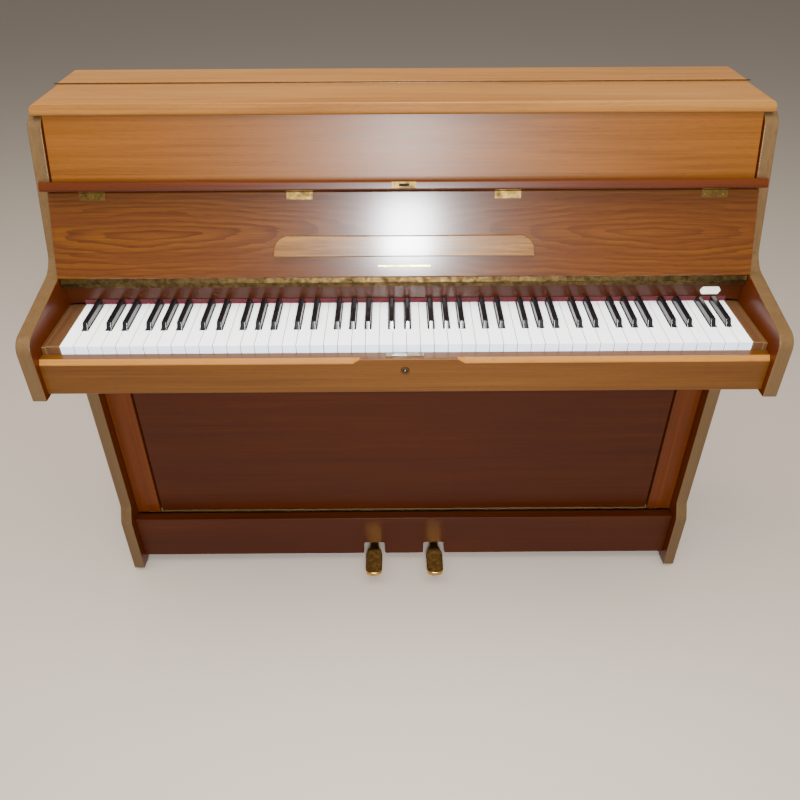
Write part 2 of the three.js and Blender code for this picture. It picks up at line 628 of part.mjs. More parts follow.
function addAction() {
  const half = FIT - 8;
  const foot = above(-BED_DROP) + GAP;
  const bracket = (side) => prism(rectangle(
    behind(286), foot, behind(KEY_LENGTH), above(120),
  ), 'x', ...spanX(side, half - ACTION_SIDE, half));
  const mainRail = block([-half + 2, behind(292), above(12)], [half - 2, behind(KEY_LENGTH - 1), above(34)]);
  place('action_frame', 'beech', join(bracket(-1), bracket(1), mainRail));

  const reach = (WHITE_PITCH * WHITES) / 2 - 16;
  const rowPlace = (i, count) => -reach + (2 * reach * i) / (count - 1);
  const row = (count, make) => Array.from({ length: count }, (_, i) => make(rowPlace(i, count)));
  const hammerRail = block([-reach - 8, behind(266), above(42)], [reach + 8, behind(284), above(58)]);
  const hammers = row(29, (x) => join(
    block([x - 2, behind(273), above(50)], [x + 2, behind(277), above(160)]),
    block([x - 5, behind(270), above(146)], [x + 5, behind(318), above(164)]),
  ));
  place('hammer_bank', 'beech', join(hammerRail, ...hammers));

  const damperRail = block([-reach - 8, behind(324), above(66)], [reach + 8, behind(334), above(78)]);
  const dampers = row(22, (x) => join(
    block([x - 1.5, behind(328), above(70)], [x + 1.5, behind(331), above(122)]),
    block([x - 6, behind(329), above(104)], [x + 6, behind(341), above(124)]),
  ));
  place('damper_bank', 'felt', join(damperRail, ...dampers));
}

// ---------------------------------------------------------------- pedals and castors

function addPedals() {
  for (const [hand, side] of SIDES) {
    const x = side * PEDAL_X;
    const half = PEDAL_W / 2;
    const tip = behind(PEDAL_TIP_BACK);
    const narrow = 11;
    const plan = outline([
      [x - half, tip, 14], [x + half, tip, 14], [x + half, tip + 52, 20], [x + narrow, tip + 84, 20],
      [x + narrow, behind(ROD_BACK + 12)], [x - narrow, behind(ROD_BACK + 12)],
      [x - narrow, tip + 84, 20], [x - half, tip + 52, 20],
    ], 4);
    place(`${hand}_pedal`, 'brass', prism(plan, 'z', PEDAL_UP, PEDAL_UP + PEDAL_T, 2));
    const foot = PEDAL_UP + PEDAL_T + 1.5;
    const head = above(46);
    const rod = bar('z', ROD_R, head - foot, [x, behind(ROD_BACK), (head + foot) / 2], 12);
    place(`${hand}_pedal_rod`, 'softwood', rod);
  }
}

function addCastors() {
  const y = BACK - 2 - POST_T / 2;
  const top = FRAME_FOOT - GAP;
  for (const [hand, side] of SIDES) {
    const x = side * (FIT - 60);
    const inside = WHEEL_W / 2 + 0.6;
    const plate = block([x - 28, y - 28, top - 6], [x + 28, y + 28, top]);
    const cheek = (way) => {
      const profile = outline([
        [y - 9, WHEEL_R - 9, 8], [y + 9, WHEEL_R - 9, 8], [y + 18, top - 3], [y - 18, top - 3],
      ]);
      const [from, to] = way < 0 ? [x - inside - FORK_T, x - inside] : [x + inside, x + inside + FORK_T];
      return prism(profile, 'x', from, to);
    };
    const bore = bar('x', AXLE_R + 0.4, 60, [x, y, WHEEL_R]);
    place(`${hand}_castor_fork`, 'steel', cut(join(plate, cheek(-1), cheek(1)), bore));
    const tread = bar('x', WHEEL_R, WHEEL_W, [x, y, WHEEL_R], 40);
    const axle = bar('x', AXLE_R, 2 * (inside + FORK_T) + 2, [x, y, WHEEL_R]);
    place(`${hand}_castor_wheel`, 'rubber', join(tread, axle));
  }
}

addEnds();
addLid();
addUpperPanel();
addLowerFront();
addKeyWell();
addKeyFrame();
addKeys();
addFall();
addBack();
addAction();
addPedals();
addCastors();

export default piano;
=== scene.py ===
"""The looks of a slant-front upright piano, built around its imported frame. Metres, +Z up, player at -Y."""

import logging
import math
from dataclasses import dataclass
from enum import Enum
from typing import Callable, Iterable, Optional, Sequence

import bmesh
import bpy
from bmesh.types import BMEdge, BMesh, BMFace, BMVert
from bpy.types import Material, Node, NodeSocket, NodeTree, Object
from mathutils import Matrix, Vector


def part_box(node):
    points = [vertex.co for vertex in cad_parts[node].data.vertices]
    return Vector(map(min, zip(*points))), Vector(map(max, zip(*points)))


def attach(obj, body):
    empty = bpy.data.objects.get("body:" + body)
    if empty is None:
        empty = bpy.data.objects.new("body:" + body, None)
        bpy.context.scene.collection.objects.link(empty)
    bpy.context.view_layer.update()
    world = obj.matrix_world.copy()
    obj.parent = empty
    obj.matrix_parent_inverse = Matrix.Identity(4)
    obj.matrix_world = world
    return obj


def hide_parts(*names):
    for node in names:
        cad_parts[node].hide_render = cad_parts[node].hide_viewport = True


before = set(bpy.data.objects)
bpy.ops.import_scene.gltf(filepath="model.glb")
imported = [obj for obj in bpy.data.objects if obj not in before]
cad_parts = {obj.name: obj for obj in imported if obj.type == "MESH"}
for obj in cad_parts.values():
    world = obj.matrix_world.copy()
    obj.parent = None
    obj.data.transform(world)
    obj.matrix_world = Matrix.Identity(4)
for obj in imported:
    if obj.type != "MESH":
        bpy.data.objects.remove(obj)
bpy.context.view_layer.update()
LOG = logging.getLogger("piano")

MM = 0.001
GAP = 0.0003
LOWEST_KEY, HIGHEST_KEY = 9, 93
SINGLE_KEYS = range(48, 60)
NOTE_NAMES = ("c", "c_sharp", "d", "d_sharp", "e", "f", "f_sharp", "g", "g_sharp", "a", "a_sharp", "b")
WHITE_STEPS = (0, 2, 4, 5, 7, 9, 11)
LACQUER_IOR = 1.5


# ------------------------------------------------------------------ colour and node helpers

def linear(hex_colour: str) -> tuple[float, float, float, float]:
    """Turns an sRGB hex colour to the linear one that a shader takes.

    Args:
        hex_colour: Six hex digits after a "#".

    Returns:
        Red, green, blue and an alpha of 1, in linear light.
    """
    parts = [int(hex_colour[i:i + 2], 16) / 255 for i in (1, 3, 5)]
    low = [c / 12.92 if c <= 0.04045 else ((c + 0.055) / 1.055) ** 2.4 for c in parts]
    return (low[0], low[1], low[2], 1.0)


def feed(tree: NodeTree, node: Node, inputs: dict) -> None:
    """Sets a node's inputs to constants, or links them to the sockets that feed them."""
    for name, value in inputs.items():
        if isinstance(value, NodeSocket):
            tree.links.new(value, node.inputs[name])
        else:
            node.inputs[name].default_value = value


def add_node(tree: NodeTree, kind: str, inputs: Optional[dict] = None, **settings) -> Node:
    """Adds a node, sets its options, and fills or links its inputs.

    Args:
        tree: The node tree that it joins.
        kind: Blender's name for the node type.
        inputs: Input name or number to a constant, or to the output socket that feeds it.
        **settings: Attributes of the node.

    Returns:
        The new node.
    """
    made = tree.nodes.new(kind)
    for name, value in settings.items():
        setattr(made, name, value)
    feed(tree, made, inputs or {})
    return made


def ramp(tree: NodeTree, factor: NodeSocket,
         stops: Sequence[tuple[float, str]]) -> NodeSocket:
    """Colours a factor by a ramp of hex colours.

    Args:
        tree: The material's node tree.
        factor: The socket that drives the ramp.
        stops: Positions from 0 to 1, each with its hex colour.

    Returns:
        The ramp's colour socket.
    """
    made = add_node(tree, "ShaderNodeValToRGB", {"Fac": factor})
    elements = made.color_ramp.elements
    while len(elements) < len(stops):
        elements.new(0.5)
    for element, (place, colour) in zip(elements, stops):
        element.position = place
        element.color = linear(colour)
    return made.outputs["Color"]


def new_material(name: str) -> tuple[Material, NodeTree, Node]:
    """Makes an empty node material.

    Args:
        name: What the real material is called.

    Returns:
        The material, its tree and its Principled shader.
    """
    material = bpy.data.materials.new(name)
    material.use_nodes = True
    tree = material.node_tree
    tree.nodes.clear()
    shader = add_node(tree, "ShaderNodeBsdfPrincipled")
    add_node(tree, "ShaderNodeOutputMaterial", {"Surface": shader.outputs["BSDF"]})
    return material, tree, shader


# ------------------------------------------------------------------ finishes

class Grain(Enum):
    """The way that a board's grain runs."""

    ACROSS_ROOM = 0
    FRONT_TO_BACK = 1
    UPRIGHT = 2


class Figure(Enum):
    """What a veneer's cut shows."""

    QUIET = "quiet"
    CROWN = "crown"


@dataclass(frozen=True)
class Veneer:
    """Lacquered veneer: grain streaks over a slow drift of colour, open pores, and a satin coat."""

    name: str
    light: str
    middle: str
    dark: str
    grain: Grain = Grain.ACROSS_ROOM
    figure: Figure = Figure.QUIET
    streak_mm: float = 9.0
    streak_length_mm: float = 420.0
    contrast: float = 1.0
    roughness: float = 0.34
    specular: float = 0.2
    coat: float = 0.16
    coat_roughness: float = 0.2
    crown_centre: tuple[float, float] = (0.0, 0.0)
    crown_ring_mm: float = 9.0
    crown_stretch: float = 8.0
    crown_wander: float = 11.0
    crown_wander_mm: float = 30.0
    ring: str = "#2f1407"

    def scaled(self, along_mm: float, across_mm: float) -> tuple[float, float, float]:
        """Mapping scale, per metre, for a pattern of that length and width along the grain."""
        scale = [1 / (across_mm * MM)] * 3
        scale[self.grain.value] = 1 / (along_mm * MM)
        return (scale[0], scale[1], scale[2])

    def streaks(self, tree: NodeTree, place: NodeSocket, along_mm: float,
                across_mm: float, detail: float) -> NodeSocket:
        """Noise drawn out along the grain.

        Args:
            tree: The material's node tree.
            place: Where the pattern is read.
            along_mm: Length of a streak.
            across_mm: Width of a streak.
            detail: Octaves of finer noise.

        Returns:
            The noise, from 0 to 1.
        """
        mapped = add_node(tree, "ShaderNodeMapping", {"Vector": place, "Scale": self.scaled(along_mm, across_mm)})
        noise = add_node(tree, "ShaderNodeTexNoise", {
            "Vector": mapped.outputs["Vector"], "Scale": 1.0, "Detail": detail, "Roughness": 0.6,
            "Distortion": 0.25,
        })
        return noise.outputs["Fac"]

    def crown(self, tree: NodeTree, place: NodeSocket) -> NodeSocket:
        """The long nested loops of a crown-cut sheet, matched left and right about the middle.

        Args:
            tree: The material's node tree.
            place: Where the pattern is read.

        Returns:
            How dark the growth rings are, from 0 to 1.
        """
        mirrored = add_node(tree, "ShaderNodeVectorMath", {0: place}, operation="ABSOLUTE")
        x, z = self.crown_centre
        squeeze = 1 / self.crown_stretch
        mapped = add_node(tree, "ShaderNodeMapping", {
            "Vector": mirrored.outputs["Vector"], "Scale": (squeeze, 0.0, 1.0), "Location": (-x * squeeze, 0, -z),
        })
        # Blender's wave repeats every 2 pi / 20 units at scale 1.
        scale = math.tau / 20 / (self.crown_ring_mm * MM)
        rings = add_node(tree, "ShaderNodeTexWave", {
            "Vector": mapped.outputs["Vector"], "Scale": scale, "Distortion": self.crown_wander, "Detail": 3.0,
            "Detail Scale": 1 / (scale * self.crown_wander_mm * MM), "Detail Roughness": 0.55,
        }, wave_type="RINGS", rings_direction="Y", wave_profile="SAW")
        late = add_node(tree, "ShaderNodeMapRange", {"Value": rings.outputs["Fac"], "From Min": 0.25, "From Max": 0.92},
                        interpolation_type="SMOOTHSTEP")
        return late.outputs["Result"]

    def material(self) -> Material:
        """Builds the veneer's shader.

        Returns:
            The material, named for the veneer.
        """
        material, tree, shader = new_material(self.name)
        place = add_node(tree, "ShaderNodeTexCoord").outputs["Object"]
        drift = self.streaks(tree, place, self.streak_length_mm * 2, self.streak_mm * 7, 2.0)
        streak = self.streaks(tree, place, self.streak_length_mm, self.streak_mm, 4.0)
        line = self.streaks(tree, place, self.streak_length_mm * 0.5, 1.8, 2.0)
        # Pores are 0.2 mm wide; they are drawn 0.9 mm wide so that they show at all.
        pore = self.streaks(tree, place, 18.0, 0.9, 2.0)
        broad = add_node(tree, "ShaderNodeMix", {"Factor": 0.5, 2: drift, 3: streak}, data_type="FLOAT")
        fine = add_node(tree, "ShaderNodeMix", {"Factor": 0.3, 2: broad.outputs[0], 3: line}, data_type="FLOAT")
        spread = 0.2 / self.contrast
        spaced = add_node(tree, "ShaderNodeMapRange", {
            "Value": fine.outputs[0], "From Min": 0.5 - spread, "From Max": 0.5 + spread,
        })
        colour = ramp(tree, spaced.outputs["Result"], [(0.0, self.dark), (0.5, self.middle), (1.0, self.light)])
        if self.figure is Figure.CROWN:
            rings = self.crown(tree, place)
            # The rings fade and strengthen along the sheet.
            strength = add_node(tree, "ShaderNodeMapRange", {
                "Value": drift, "From Min": 0.3, "From Max": 0.7, "To Min": 0.1, "To Max": 0.66,
            })
            amount = add_node(tree, "ShaderNodeMath", {0: rings, 1: strength.outputs["Result"]}, operation="MULTIPLY")
            ringed = add_node(tree, "ShaderNodeMix", {"Factor": amount.outputs[0], 6: colour, 7: linear(self.ring)},
                              data_type="RGBA")
            colour = ringed.outputs[2]
        pores = add_node(tree, "ShaderNodeMapRange", {
            "Value": pore, "From Min": 0.28, "From Max": 0.44, "To Min": 0.72, "To Max": 1.0,
        })
        dimmed = add_node(tree, "ShaderNodeVectorMath", {0: colour, "Scale": pores.outputs["Result"]},
                          operation="SCALE")
        gloss = add_node(tree, "ShaderNodeMapRange", {
            "Value": streak, "To Min": self.roughness - 0.05, "To Max": self.roughness + 0.07,
        })
        bump = add_node(tree, "ShaderNodeBump", {"Height": pore, "Strength": 0.12, "Distance": 0.0002})
        feed(tree, shader, {
            "Base Color": dimmed.outputs["Vector"], "Roughness": gloss.outputs["Result"],
            "Normal": bump.outputs["Normal"], "Specular IOR Level": self.specular, "Coat Weight": self.coat,
            "Coat Roughness": self.coat_roughness, "IOR": LACQUER_IOR,
        })
        return material


@dataclass(frozen=True)
class Cast:
    """Any even, close-grained material: plastic, metal, rubber or felt, with a mottle and a fine surface."""

    name: str
    colour: str
    shade: str
    roughness: float
    metallic: float = 0.0
    ior: float = 1.45
    mottle_mm: float = 25.0
    surface_mm: float = 0.8
    bump: float = 0.05
    sheen: float = 0.0
    rough_spread: float = 0.05

    def material(self) -> Material:
        """Builds the shader.

        Returns:
            The material.
        """
        material, tree, shader = new_material(self.name)
        place = add_node(tree, "ShaderNodeTexCoord").outputs["Object"]
        mottle = add_node(tree, "ShaderNodeTexNoise", {
            "Vector": place, "Scale": 1 / (self.mottle_mm * MM), "Detail": 4.0, "Roughness": 0.6,
        })
        surface = add_node(tree, "ShaderNodeTexNoise", {
            "Vector": place, "Scale": 1 / (self.surface_mm * MM), "Detail": 2.0,
        })
        colour = ramp(tree, mottle.outputs["Fac"], [(0.3, self.shade), (0.65, self.colour)])
        gloss = add_node(tree, "ShaderNodeMapRange", {
            "Value": mottle.outputs["Fac"], "From Min": 0.3, "From Max": 0.7,
            "To Min": self.roughness + self.rough_spread, "To Max": max(0.02, self.roughness - self.rough_spread),
        })
        bump = add_node(tree, "ShaderNodeBump", {
            "Height": surface.outputs["Fac"], "Strength": self.bump, "Distance": 0.0003,
        })
        feed(tree, shader, {
            "Base Color": colour, "Roughness": gloss.outputs["Result"], "Normal": bump.outputs["Normal"],
            "Metallic": self.metallic, "Sheen Weight": self.sheen,
        })
        if self.metallic < 0.5:
            feed(tree, shader, {"IOR": self.ior})
        return material


# Teak-toned veneer, satin lacquer: the case's own colour, warm and quiet.
LID_VENEER = Veneer("teak_veneer_lid", "#875f30", "#7b5124", "#663f18", streak_mm=13, contrast=1.25,
                    roughness=0.4, coat_roughness=0.26)
PANEL_VENEER = Veneer("teak_veneer_upper_panel", "#693d11", "#5c350b", "#4b2807", streak_mm=10, contrast=1.3,
                      roughness=0.42, coat=0.12, coat_roughness=0.28)
SLIP_VENEER = Veneer("teak_veneer_key_slip", "#53340f", "#492a0a", "#3a1f06", streak_mm=7, contrast=1.1)
END_VENEER = Veneer("teak_veneer_ends", "#512003", "#461a02", "#361202", grain=Grain.UPRIGHT, streak_mm=8)
# The slip's chamfer: the slip's veneer painted paler, as painted highlight where the chamfer faces the light.
SLIP_CHAMFER_PAINTED_HIGHLIGHT = Veneer("key_slip_chamfer_painted_highlight", "#8d602d", "#805523", "#6c4519", streak_mm=5, roughness=0.5,
                   specular=0.1, coat=0.0)
# Solid lipping along the ends' edges: paler and greener than the veneer that it frames.
LIPPING = Veneer("solid_teak_lipping", "#564227", "#4c3922", "#3f2c19", grain=Grain.UPRIGHT, streak_mm=5,
                 contrast=0.9, roughness=0.42)
# Crown-cut walnut on the fall: dark loops on orange brown.
FALL_VENEER = Veneer("crown_cut_walnut_fall", "#55310b", "#47260b", "#37190b", figure=Figure.CROWN,
                     streak_mm=5.5, streak_length_mm=260, contrast=1.0, roughness=0.3, specular=0.12, coat=0.5,
                     coat_roughness=0.15,
                     crown_centre=(0.44, 0.845))
LIP_VENEER = Veneer("red_walnut_lip", "#461d04", "#381604", "#2a0c04", streak_mm=5, roughness=0.36)
NAME_VENEER = Veneer("walnut_nameboard", "#3a1703", "#2f1103", "#230a03", streak_mm=6, roughness=0.3)
BLOCK_VENEER = Veneer("walnut_key_blocks", "#513921", "#462f1d", "#372213", grain=Grain.FRONT_TO_BACK, streak_mm=6)
# The lower front's veneer: the case's wood painted much darker, as painted shade under the key bed.
LOWER_VENEER_PAINTED_SHADE = Veneer("lower_front_veneer_painted_shade", "#3d1803", "#311103", "#250a03", streak_mm=10, contrast=0.9,
                      roughness=0.42, specular=0.15, coat=0.04)
STILE_VENEER = Veneer("mahogany_pilasters", "#532707", "#461e06", "#341605", grain=Grain.UPRIGHT, streak_mm=8,
                      specular=0.15, coat=0.06)
LEDGE_VENEER = Veneer("pale_walnut_ledge", "#765524", "#624018", "#40260a", streak_mm=6, streak_length_mm=130,
                      contrast=1.35, roughness=0.3, specular=0.15, coat=0.6, coat_roughness=0.13)
SOFTWOOD = Veneer("planed_pine", "#cdae7c", "#c39f6b", "#ab8552", streak_mm=12, roughness=0.6, coat=0.0)
POST_WOOD = Veneer("planed_pine_posts", "#cdae7c", "#c39f6b", "#ab8552", grain=Grain.UPRIGHT, streak_mm=12,
                   roughness=0.6, coat=0.0)
SPRUCE = Veneer("varnished_spruce", "#d9b981", "#cfac70", "#b98f52", grain=Grain.UPRIGHT, streak_mm=3, roughness=0.4)
BEECH = Veneer("planed_beech", "#cda174", "#c09263", "#a97b4d", streak_mm=4, roughness=0.55, coat=0.0)

# Cast acrylic: hard, clean white with a faint cool shade, polished.
WHITE_PLASTIC = Cast("moulded_acrylic_white", "#f9fbfd", "#f3f6f9", 0.16, ior=1.49, bump=0.01, rough_spread=0.03)
# The keys' fronts: the same white plastic painted darker and bluer, as painted shade on the faces that face forward.
WHITE_FRONT_PAINTED_SHADE = Cast("acrylic_key_front_painted_shade", "#d5dce9", "#cdd4e1", 0.2, ior=1.49, bump=0.01, rough_spread=0.03)
# The bare wood of a key shows on its sides, under the plastic.
KEY_SIDE = Cast("sawn_spruce_key_side", "#86694a", "#6f5539", 0.75, bump=0.1)
# Phenolic plastic, moulded and buffed to a deep gloss.
BLACK_PLASTIC = Cast("moulded_phenolic_black", "#121014", "#0c0a0e", 0.22, ior=1.5, bump=0.015, rough_spread=0.03)
# Rolled brass gone dull in patches.
BRASS = Cast("rolled_brass", "#c9a860", "#8f7138", 0.3, metallic=1.0, mottle_mm=9, bump=0.06, rough_spread=0.08)
OLD_BRASS = Cast("tarnished_rolled_brass", "#7c6434", "#4b3a1d", 0.48, metallic=1.0, mottle_mm=14, bump=0.1,
                 rough_spread=0.1)
# The long hinge, dull from handling and almost brown.
HINGE_BRASS = Cast("dulled_hinge_brass", "#5a482a", "#2f2412", 0.5, metallic=1.0, mottle_mm=10, bump=0.1,
                   rough_spread=0.1)
# The lock's plate, rubbed pale.
PLATE_BRASS = Cast("rubbed_plate_brass", "#948671", "#76684f", 0.36, metallic=1.0, mottle_mm=8, bump=0.08)
# Dark steel: real tarnish on the keyhole's ring; on the lid's and the ledge's knuckles the dark colour is painted shade
# for the seams' shadow lines.
TARNISH_AND_SHADE_STEEL = Cast("tarnished_steel_and_painted_shade", "#4a3018", "#2c1c0d", 0.5, metallic=0.6, mottle_mm=14, bump=0.1)
STEEL = Cast("drawn_steel", "#b9bbc0", "#8d9096", 0.32, metallic=1.0, mottle_mm=12)
GILT_IRON = Cast("bronzed_cast_iron", "#a3834a", "#7e6332", 0.42, metallic=0.7, mottle_mm=30, surface_mm=2.5, bump=0.3)
# Crimson felt, painted darker as the shade that it mostly lies in under the nameboard.
FELT = Cast("wool_felt_crimson_painted_shade", "#470b15", "#30070d", 0.95, mottle_mm=4, surface_mm=0.7, bump=0.5, sheen=0.1)
HAMMER_FELT = Cast("pressed_hammer_felt", "#ddd6c4", "#c8c0ab", 0.95, mottle_mm=6, bump=0.4, sheen=0.4)
RUBBER = Cast("moulded_rubber", "#1d1a19", "#141211", 0.75, ior=1.52, mottle_mm=8, bump=0.2)
# Paler wood on the key blocks' eased edges: painted highlight.
BLOCK_EDGE_PAINTED_HIGHLIGHT = Cast("key_block_edge_painted_highlight", "#5f4325", "#50371d", 0.5, mottle_mm=6, bump=0.08)
IVORINE = Cast("ivorine_plate", "#efe9d6", "#e2dac2", 0.3, ior=1.5, mottle_mm=10, bump=0.02)
SHADOW = Cast("unlit_recess", "#1a120c", "#120c08", 0.9, bump=0.0)

MATERIALS: dict[str, Material] = {}


def dressed(finish: Veneer | Cast) -> Material:
    """Gives the one material of a finish, made when it is first asked for."""
    if finish.name not in MATERIALS:
        MATERIALS[finish.name] = finish.material()
    return MATERIALS[finish.name]


# ------------------------------------------------------------------ mesh helpers

AXES = {"x": 0, "y": 1, "z": 2}


def spread(axis: str, a: float, b: float, along: float) -> Vector:
    """Puts two coordinates across an axis, and one along it, into room coordinates."""
    if axis == "x":
        return Vector((along, a, b))
    if axis == "y":
        return Vector((a, along, b))
    return Vector((a, b, along))


def sharp_edges(bm: BMesh, least_degrees: float = 30) -> list[BMEdge]:
    """Finds the edges whose two faces meet at more than an angle."""
    bm.normal_update()
    least = math.radians(least_degrees)
    return [e for e in bm.edges if len(e.link_faces) == 2 and e.calc_face_angle(0) > least]


def bevel(bm: BMesh, geom: list, radius: float, segments: int, affect: str = "EDGES",
          clamp: bool = True) -> None:
    """Rounds some edges or corners of a shape."""
    bmesh.ops.bevel(bm, geom=geom, offset=radius, offset_type="OFFSET", affect=affect, segments=segments,
                    profile=0.5, material=-1, clamp_overlap=clamp)


def ease_edges(bm: BMesh, radius: float, segments: int = 3) -> None:
    """Rounds every sharp edge of a shape."""
    bevel(bm, sharp_edges(bm), radius, segments)


def cut(bm: BMesh, at: Sequence[float], across: Sequence[float]) -> None:
    """Splits a shape's faces along a plane through a point."""
    bmesh.ops.bisect_plane(bm, geom=bm.verts[:] + bm.edges[:] + bm.faces[:], plane_co=at, plane_no=across)


def slab(corners: Sequence[Sequence[float]], axis: str, start: float, end: float, ease: float = 0.0012,
         segments: int = 3, arc_segments: int = 10) -> BMesh:
    """Board of an outline, drawn across an axis and as thick as from start to end along it.

    Args:
        corners: Outline corners (a, b) or (a, b, radius); across x they are (y, z), across y (x, z).
        axis: "x", "y" or "z".
        start: Where the board starts along the axis.
        end: Where it ends.
        ease: Radius taken off the board's edges, or 0.
        segments: Facets across an eased edge.
        arc_segments: Facets round an outline's corner.

    Returns:
        The closed board, its faces outward.
    """
    bm = bmesh.new()
    places = [spread(axis, c[0], c[1], start) for c in corners]
    verts = [bm.verts.new(p) for p in places]
    face = bm.faces.new(verts)
    rounded: dict[float, list[BMVert]] = {}
    for i, corner in enumerate(corners):
        if len(corner) > 2 and corner[2] > 0:
            before = (places[i - 1] - places[i]).normalized()
            after = (places[(i + 1) % len(places)] - places[i]).normalized()
            half = before.angle(after) / 2
            rounded.setdefault(round(corner[2] / math.tan(half), 6), []).append(verts[i])
    for reach, group in rounded.items():
        bevel(bm, group, reach, arc_segments, "VERTICES", False)
    face = max(bm.faces, key=lambda f: f.calc_area())
    grown = bmesh.ops.extrude_face_region(bm, geom=[face])
    moved = [v for v in grown["geom"] if isinstance(v, BMVert)]
    step = Vector((0, 0, 0))
    step[AXES[axis]] = end - start
    bmesh.ops.translate(bm, verts=moved, vec=step)
    bmesh.ops.recalc_face_normals(bm, faces=bm.faces[:])
    if ease > 0:
        ease_edges(bm, ease, segments)
    return bm


def box_shape(low: Sequence[float], high: Sequence[float], ease: float = 0.0006, segments: int = 2) -> BMesh:
    """Box between two corners, with its edges eased."""
    bm = bmesh.new()
    size = Vector(high) - Vector(low)
    middle = (Vector(high) + Vector(low)) / 2
    bmesh.ops.create_cube(bm, size=1, matrix=Matrix.Translation(middle) @ Matrix.Diagonal((*size, 1)))
    if ease > 0:
        ease_edges(bm, ease, segments)
    return bm


def rod_shape(start: Sequence[float], end: Sequence[float], radius: float, sides: int = 20,
              ease: float = 0.0) -> BMesh:
    """Round bar from one point to another."""
    bm = bmesh.new()
    a, b = Vector(start), Vector(end)
    turn = (b - a).to_track_quat("Z", "Y").to_matrix().to_4x4()
    bmesh.ops.create_cone(bm, cap_ends=True, segments=sides, radius1=radius, radius2=radius,
                          depth=(b - a).length, matrix=Matrix.Translation((a + b) / 2) @ turn)
    if ease > 0:
        ease_edges(bm, ease, 2)
    return bm


def turned_shape(profile: Sequence[tuple[float, float]], at: Sequence[float], direction: Sequence[float],
                 steps: int = 32) -> BMesh:
    """Turned piece: a (radius, height) profile spun about its axis, which starts at a point.

    Args:
        profile: Points from one end of the axis to the other, both on the axis.
        at: Foot of the axis.
        direction: Which way the axis runs.
        steps: Facets round the axis.

    Returns:
        The closed piece.
    """
    bm = bmesh.new()
    verts = [bm.verts.new((r, 0, h)) for r, h in profile]
    edges = [bm.edges.new(pair) for pair in zip(verts, verts[1:])]
    bmesh.ops.spin(bm, geom=verts + edges, cent=(0, 0, 0), axis=(0, 0, 1), angle=math.tau, steps=steps,
                   use_merge=True)
    bmesh.ops.remove_doubles(bm, verts=bm.verts[:], dist=1e-6)
    bmesh.ops.recalc_face_normals(bm, faces=bm.faces[:])
    turn = Vector(direction).to_track_quat("Z", "Y").to_matrix().to_4x4()
    bmesh.ops.transform(bm, matrix=Matrix.Translation(at) @ turn, verts=bm.verts[:])
    return bm


def gathered(shapes: Iterable[BMesh]) -> BMesh:
    """Puts several shapes into one, as the parts of one piece."""
    whole = bmesh.new()
    for bm in shapes:
        mesh = bpy.data.meshes.new("part")
        bm.to_mesh(mesh)
        bm.free()
        whole.from_mesh(mesh)
        bpy.data.meshes.remove(mesh)
    return whole


def piece(bm: BMesh, name: str, body: str, finishes: Sequence[Veneer | Cast],
          replaces: Sequence[str] = (), choose: Optional[Callable[[BMFace], int]] = None,
          smooth_degrees: float = 38) -> Object:
    """Turns a shape into a piece of the piano.

    Args:
        bm: The finished shape, in place. It is freed.
        name: The piece's name.
        body: The body that it rides on.
        finishes: Its finishes; the first is used where choose gives none.
        replaces: CAD nodes that it stands for.
        choose: Gives the number of a face's finish.
        smooth_degrees: Faces that meet at less than this are shaded as one surface.

    Returns:
        The piece's object.
    """
    bm.normal_update()
    if choose:
        for f in bm.faces:
            f.material_index = choose(f)
    mesh = bpy.data.meshes.new(name)
    bm.to_mesh(mesh)
    bm.free()
    mesh.polygons.foreach_set("use_smooth", [True] * len(mesh.polygons))
    mesh.set_sharp_from_angle(angle=math.radians(smooth_degrees))
    for finish in finishes:
        mesh.materials.append(dressed(finish))
    made = bpy.data.objects.new(name, mesh)
    bpy.context.scene.collection.objects.link(made)
    weighted = made.modifiers.new("even_faces", "WEIGHTED_NORMAL")
    weighted.keep_sharp = True
    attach(made, body)
    if replaces:
        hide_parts(*replaces)
    return made


def repaint(node_names: Iterable[str], finish: Veneer | Cast) -> None:
    """Gives CAD pieces that are shown as they are a finish."""
    for name in node_names:
        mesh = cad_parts[name].data
        mesh.materials.clear()
        mesh.materials.append(dressed(finish))


def screw_head(at: Vector, out: Vector, radius: float = 0.0024) -> BMesh:
    """Countersunk screw head with its slot, standing just proud of a surface."""
    bm = turned_shape([(0, -0.0006), (radius, -0.0006), (radius, 0.0001), (radius * 0.7, 0.0004), (0, 0.0005)],
                      at, out, 14)
    return bm


# ------------------------------------------------------------------ shared places

LOW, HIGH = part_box("left_end")
BLOCK_LOW, BLOCK_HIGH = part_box("left_key_block")
KEY_FRONT = BLOCK_LOW.y
KEY_TOP = BLOCK_HIGH.z


def behind(distance_mm: float) -> float:
    """How far back, in metres, a place that many millimetres behind the key fronts is."""
    return KEY_FRONT + distance_mm * MM


def above(height_mm: float) -> float:
    """How high, in metres, a place that many millimetres above the key tops is."""
    return KEY_TOP + height_mm * MM


# ------------------------------------------------------------------ case

